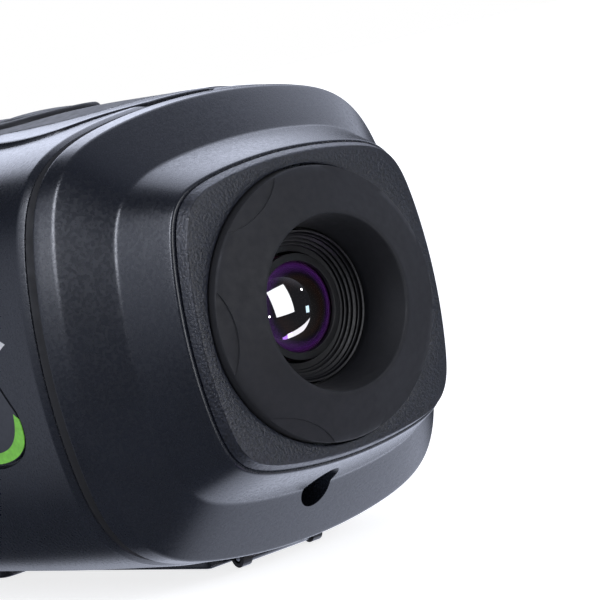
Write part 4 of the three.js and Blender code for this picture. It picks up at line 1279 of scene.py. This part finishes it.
def lobe(room, where, direction, inner, outer, strength):
    """A bright part of the room: full within the inner angle, gone beyond the outer one."""
    near = room.add("ShaderNodeVectorMath", operation="DOT_PRODUCT")
    near.inputs[1].default_value = Vector(direction).normalized()
    room.link(where, near.inputs[0])
    edge, core = (math.cos(math.radians(angle)) for angle in (outer, inner))
    return room.mapped(near.outputs["Value"], 0, strength, edge, core, "SMOOTHSTEP")


def room_brightness(room):
    """The dim level with every lobe added to it."""
    where = room.add("ShaderNodeTexCoord").outputs["Generated"]
    total = None
    for row in LOBES:
        add = room.add("ShaderNodeMath", operation="ADD")
        add.inputs[1].default_value = ROOM_DIM  # every lobe but the first takes the sum so far
        room.link(lobe(room, where, *row), add.inputs[0])
        if total is not None:
            room.link(total, add.inputs[1])
        total = add.outputs["Value"]
    return total


def either(room, choice, if_not, if_so):
    """One background or another, by a choice that is 0 or 1."""
    node = room.add("ShaderNodeMixShader")
    for source, socket in zip((choice, if_not, if_so), node.inputs):
        room.link(source, socket)
    return node.outputs["Shader"]


def world():
    """White to the camera, an even light to matt surfaces, and to gloss a room with bright parts."""
    sky = bpy.data.worlds.new("studio")
    room = Nodes(sky)
    room.tree.nodes.clear()
    seen = background(room, (1, 1, 1))
    lit = background(room, (0.87, 0.93, 1.13))
    even = background(room, (0.94, 0.97, 1.08), 0.55)
    room.link(room_brightness(room), lit.inputs["Strength"])
    path = room.add("ShaderNodeLightPath").outputs
    by_gloss = either(room, path["Is Glossy Ray"], even.outputs[0], lit.outputs[0])
    by_camera = either(room, path["Is Camera Ray"], by_gloss, seen.outputs[0])
    room.link(by_camera, room.add("ShaderNodeOutputWorld").inputs["Surface"])
    bpy.context.scene.world = sky


def floor():
    """A wide pale floor, faintly mottled."""
    half = FLOOR_HALF
    corners = [(-half, -half, 0), (half, -half, 0), (half, half, 0), (-half, half, 0)]
    mesh = bpy.data.meshes.new("floor")
    mesh.from_pydata(corners, [], [(0, 1, 2, 3)])
    made = Finish(
        "pale_floor", Specular_IOR_Level=0.1, Emission_Color=(1, 1, 1, 1), Emission_Strength=0.78)
    made.colours(made.noise(60, 2), (0.3, (236, 237, 239)), (0.7, (240, 241, 243)))
    made.sheen_spread(made.noise(40, 2), 0.8, 0.9)
    mesh.materials.append(made.material)
    ground = bpy.data.objects.new("floor", mesh)
    ground.visible_glossy = False
    bpy.context.scene.collection.objects.link(ground)


def studio():
    """The camera, the floor and every light."""
    camera()
    world()
    floor()
    softbox("front_softbox", 7, 9, 30, 38, 4.6, colour=(0.97, 0.99, 1.03), roll=4, lights=True)
    softbox("left_softbox", -77, 30, 13, 40, 15, colour=(0.92, 0.96, 1.08))
    softbox("lamp_left", -16, -7.5, 2.2, 2.2, 40)
    softbox("lamp_right", 46, 12.5, 2, 2, 40)
    softbox("window", 46.5, -9.5, 6, 7, 5, colour=(0.65, 0.85, 1))
    softbox("table_front", 36, -31, 42, 7, 4, colour=(0.95, 0.93, 1), roll=28)
    softbox("table_violet", 12, -39, 14, 5, 4, colour=(0.55, 0.25, 1), roll=28)
    bpy.context.scene.view_settings.view_transform = "Standard"


# Assembly ----------------------------------------------------------------------------------------

carried_over()
front_bezel()
focus_ring()
nose_shell()
nose_gasket()
lens_cell()
lens_retainer()
front_lens()
body_shells()
top_cover()
keypad()
buttons()
side_label()
port_cover()
battery_door()
door_latch()
belly_plate()
tripod_bush()
rear_cap()
rear_gasket()
eyepiece_tube()
eyepiece_cell()
eyepiece_lenses()
eyepiece_retainer()
diopter_ring()
eyecup()
for number in (1, 2, 3, 4):
    socket_screw(f"flank_screw_{number}", "x", f"shell_screw_{number}")
socket_screw("foot_screw", "z", "belly_screw", -1)
studio()
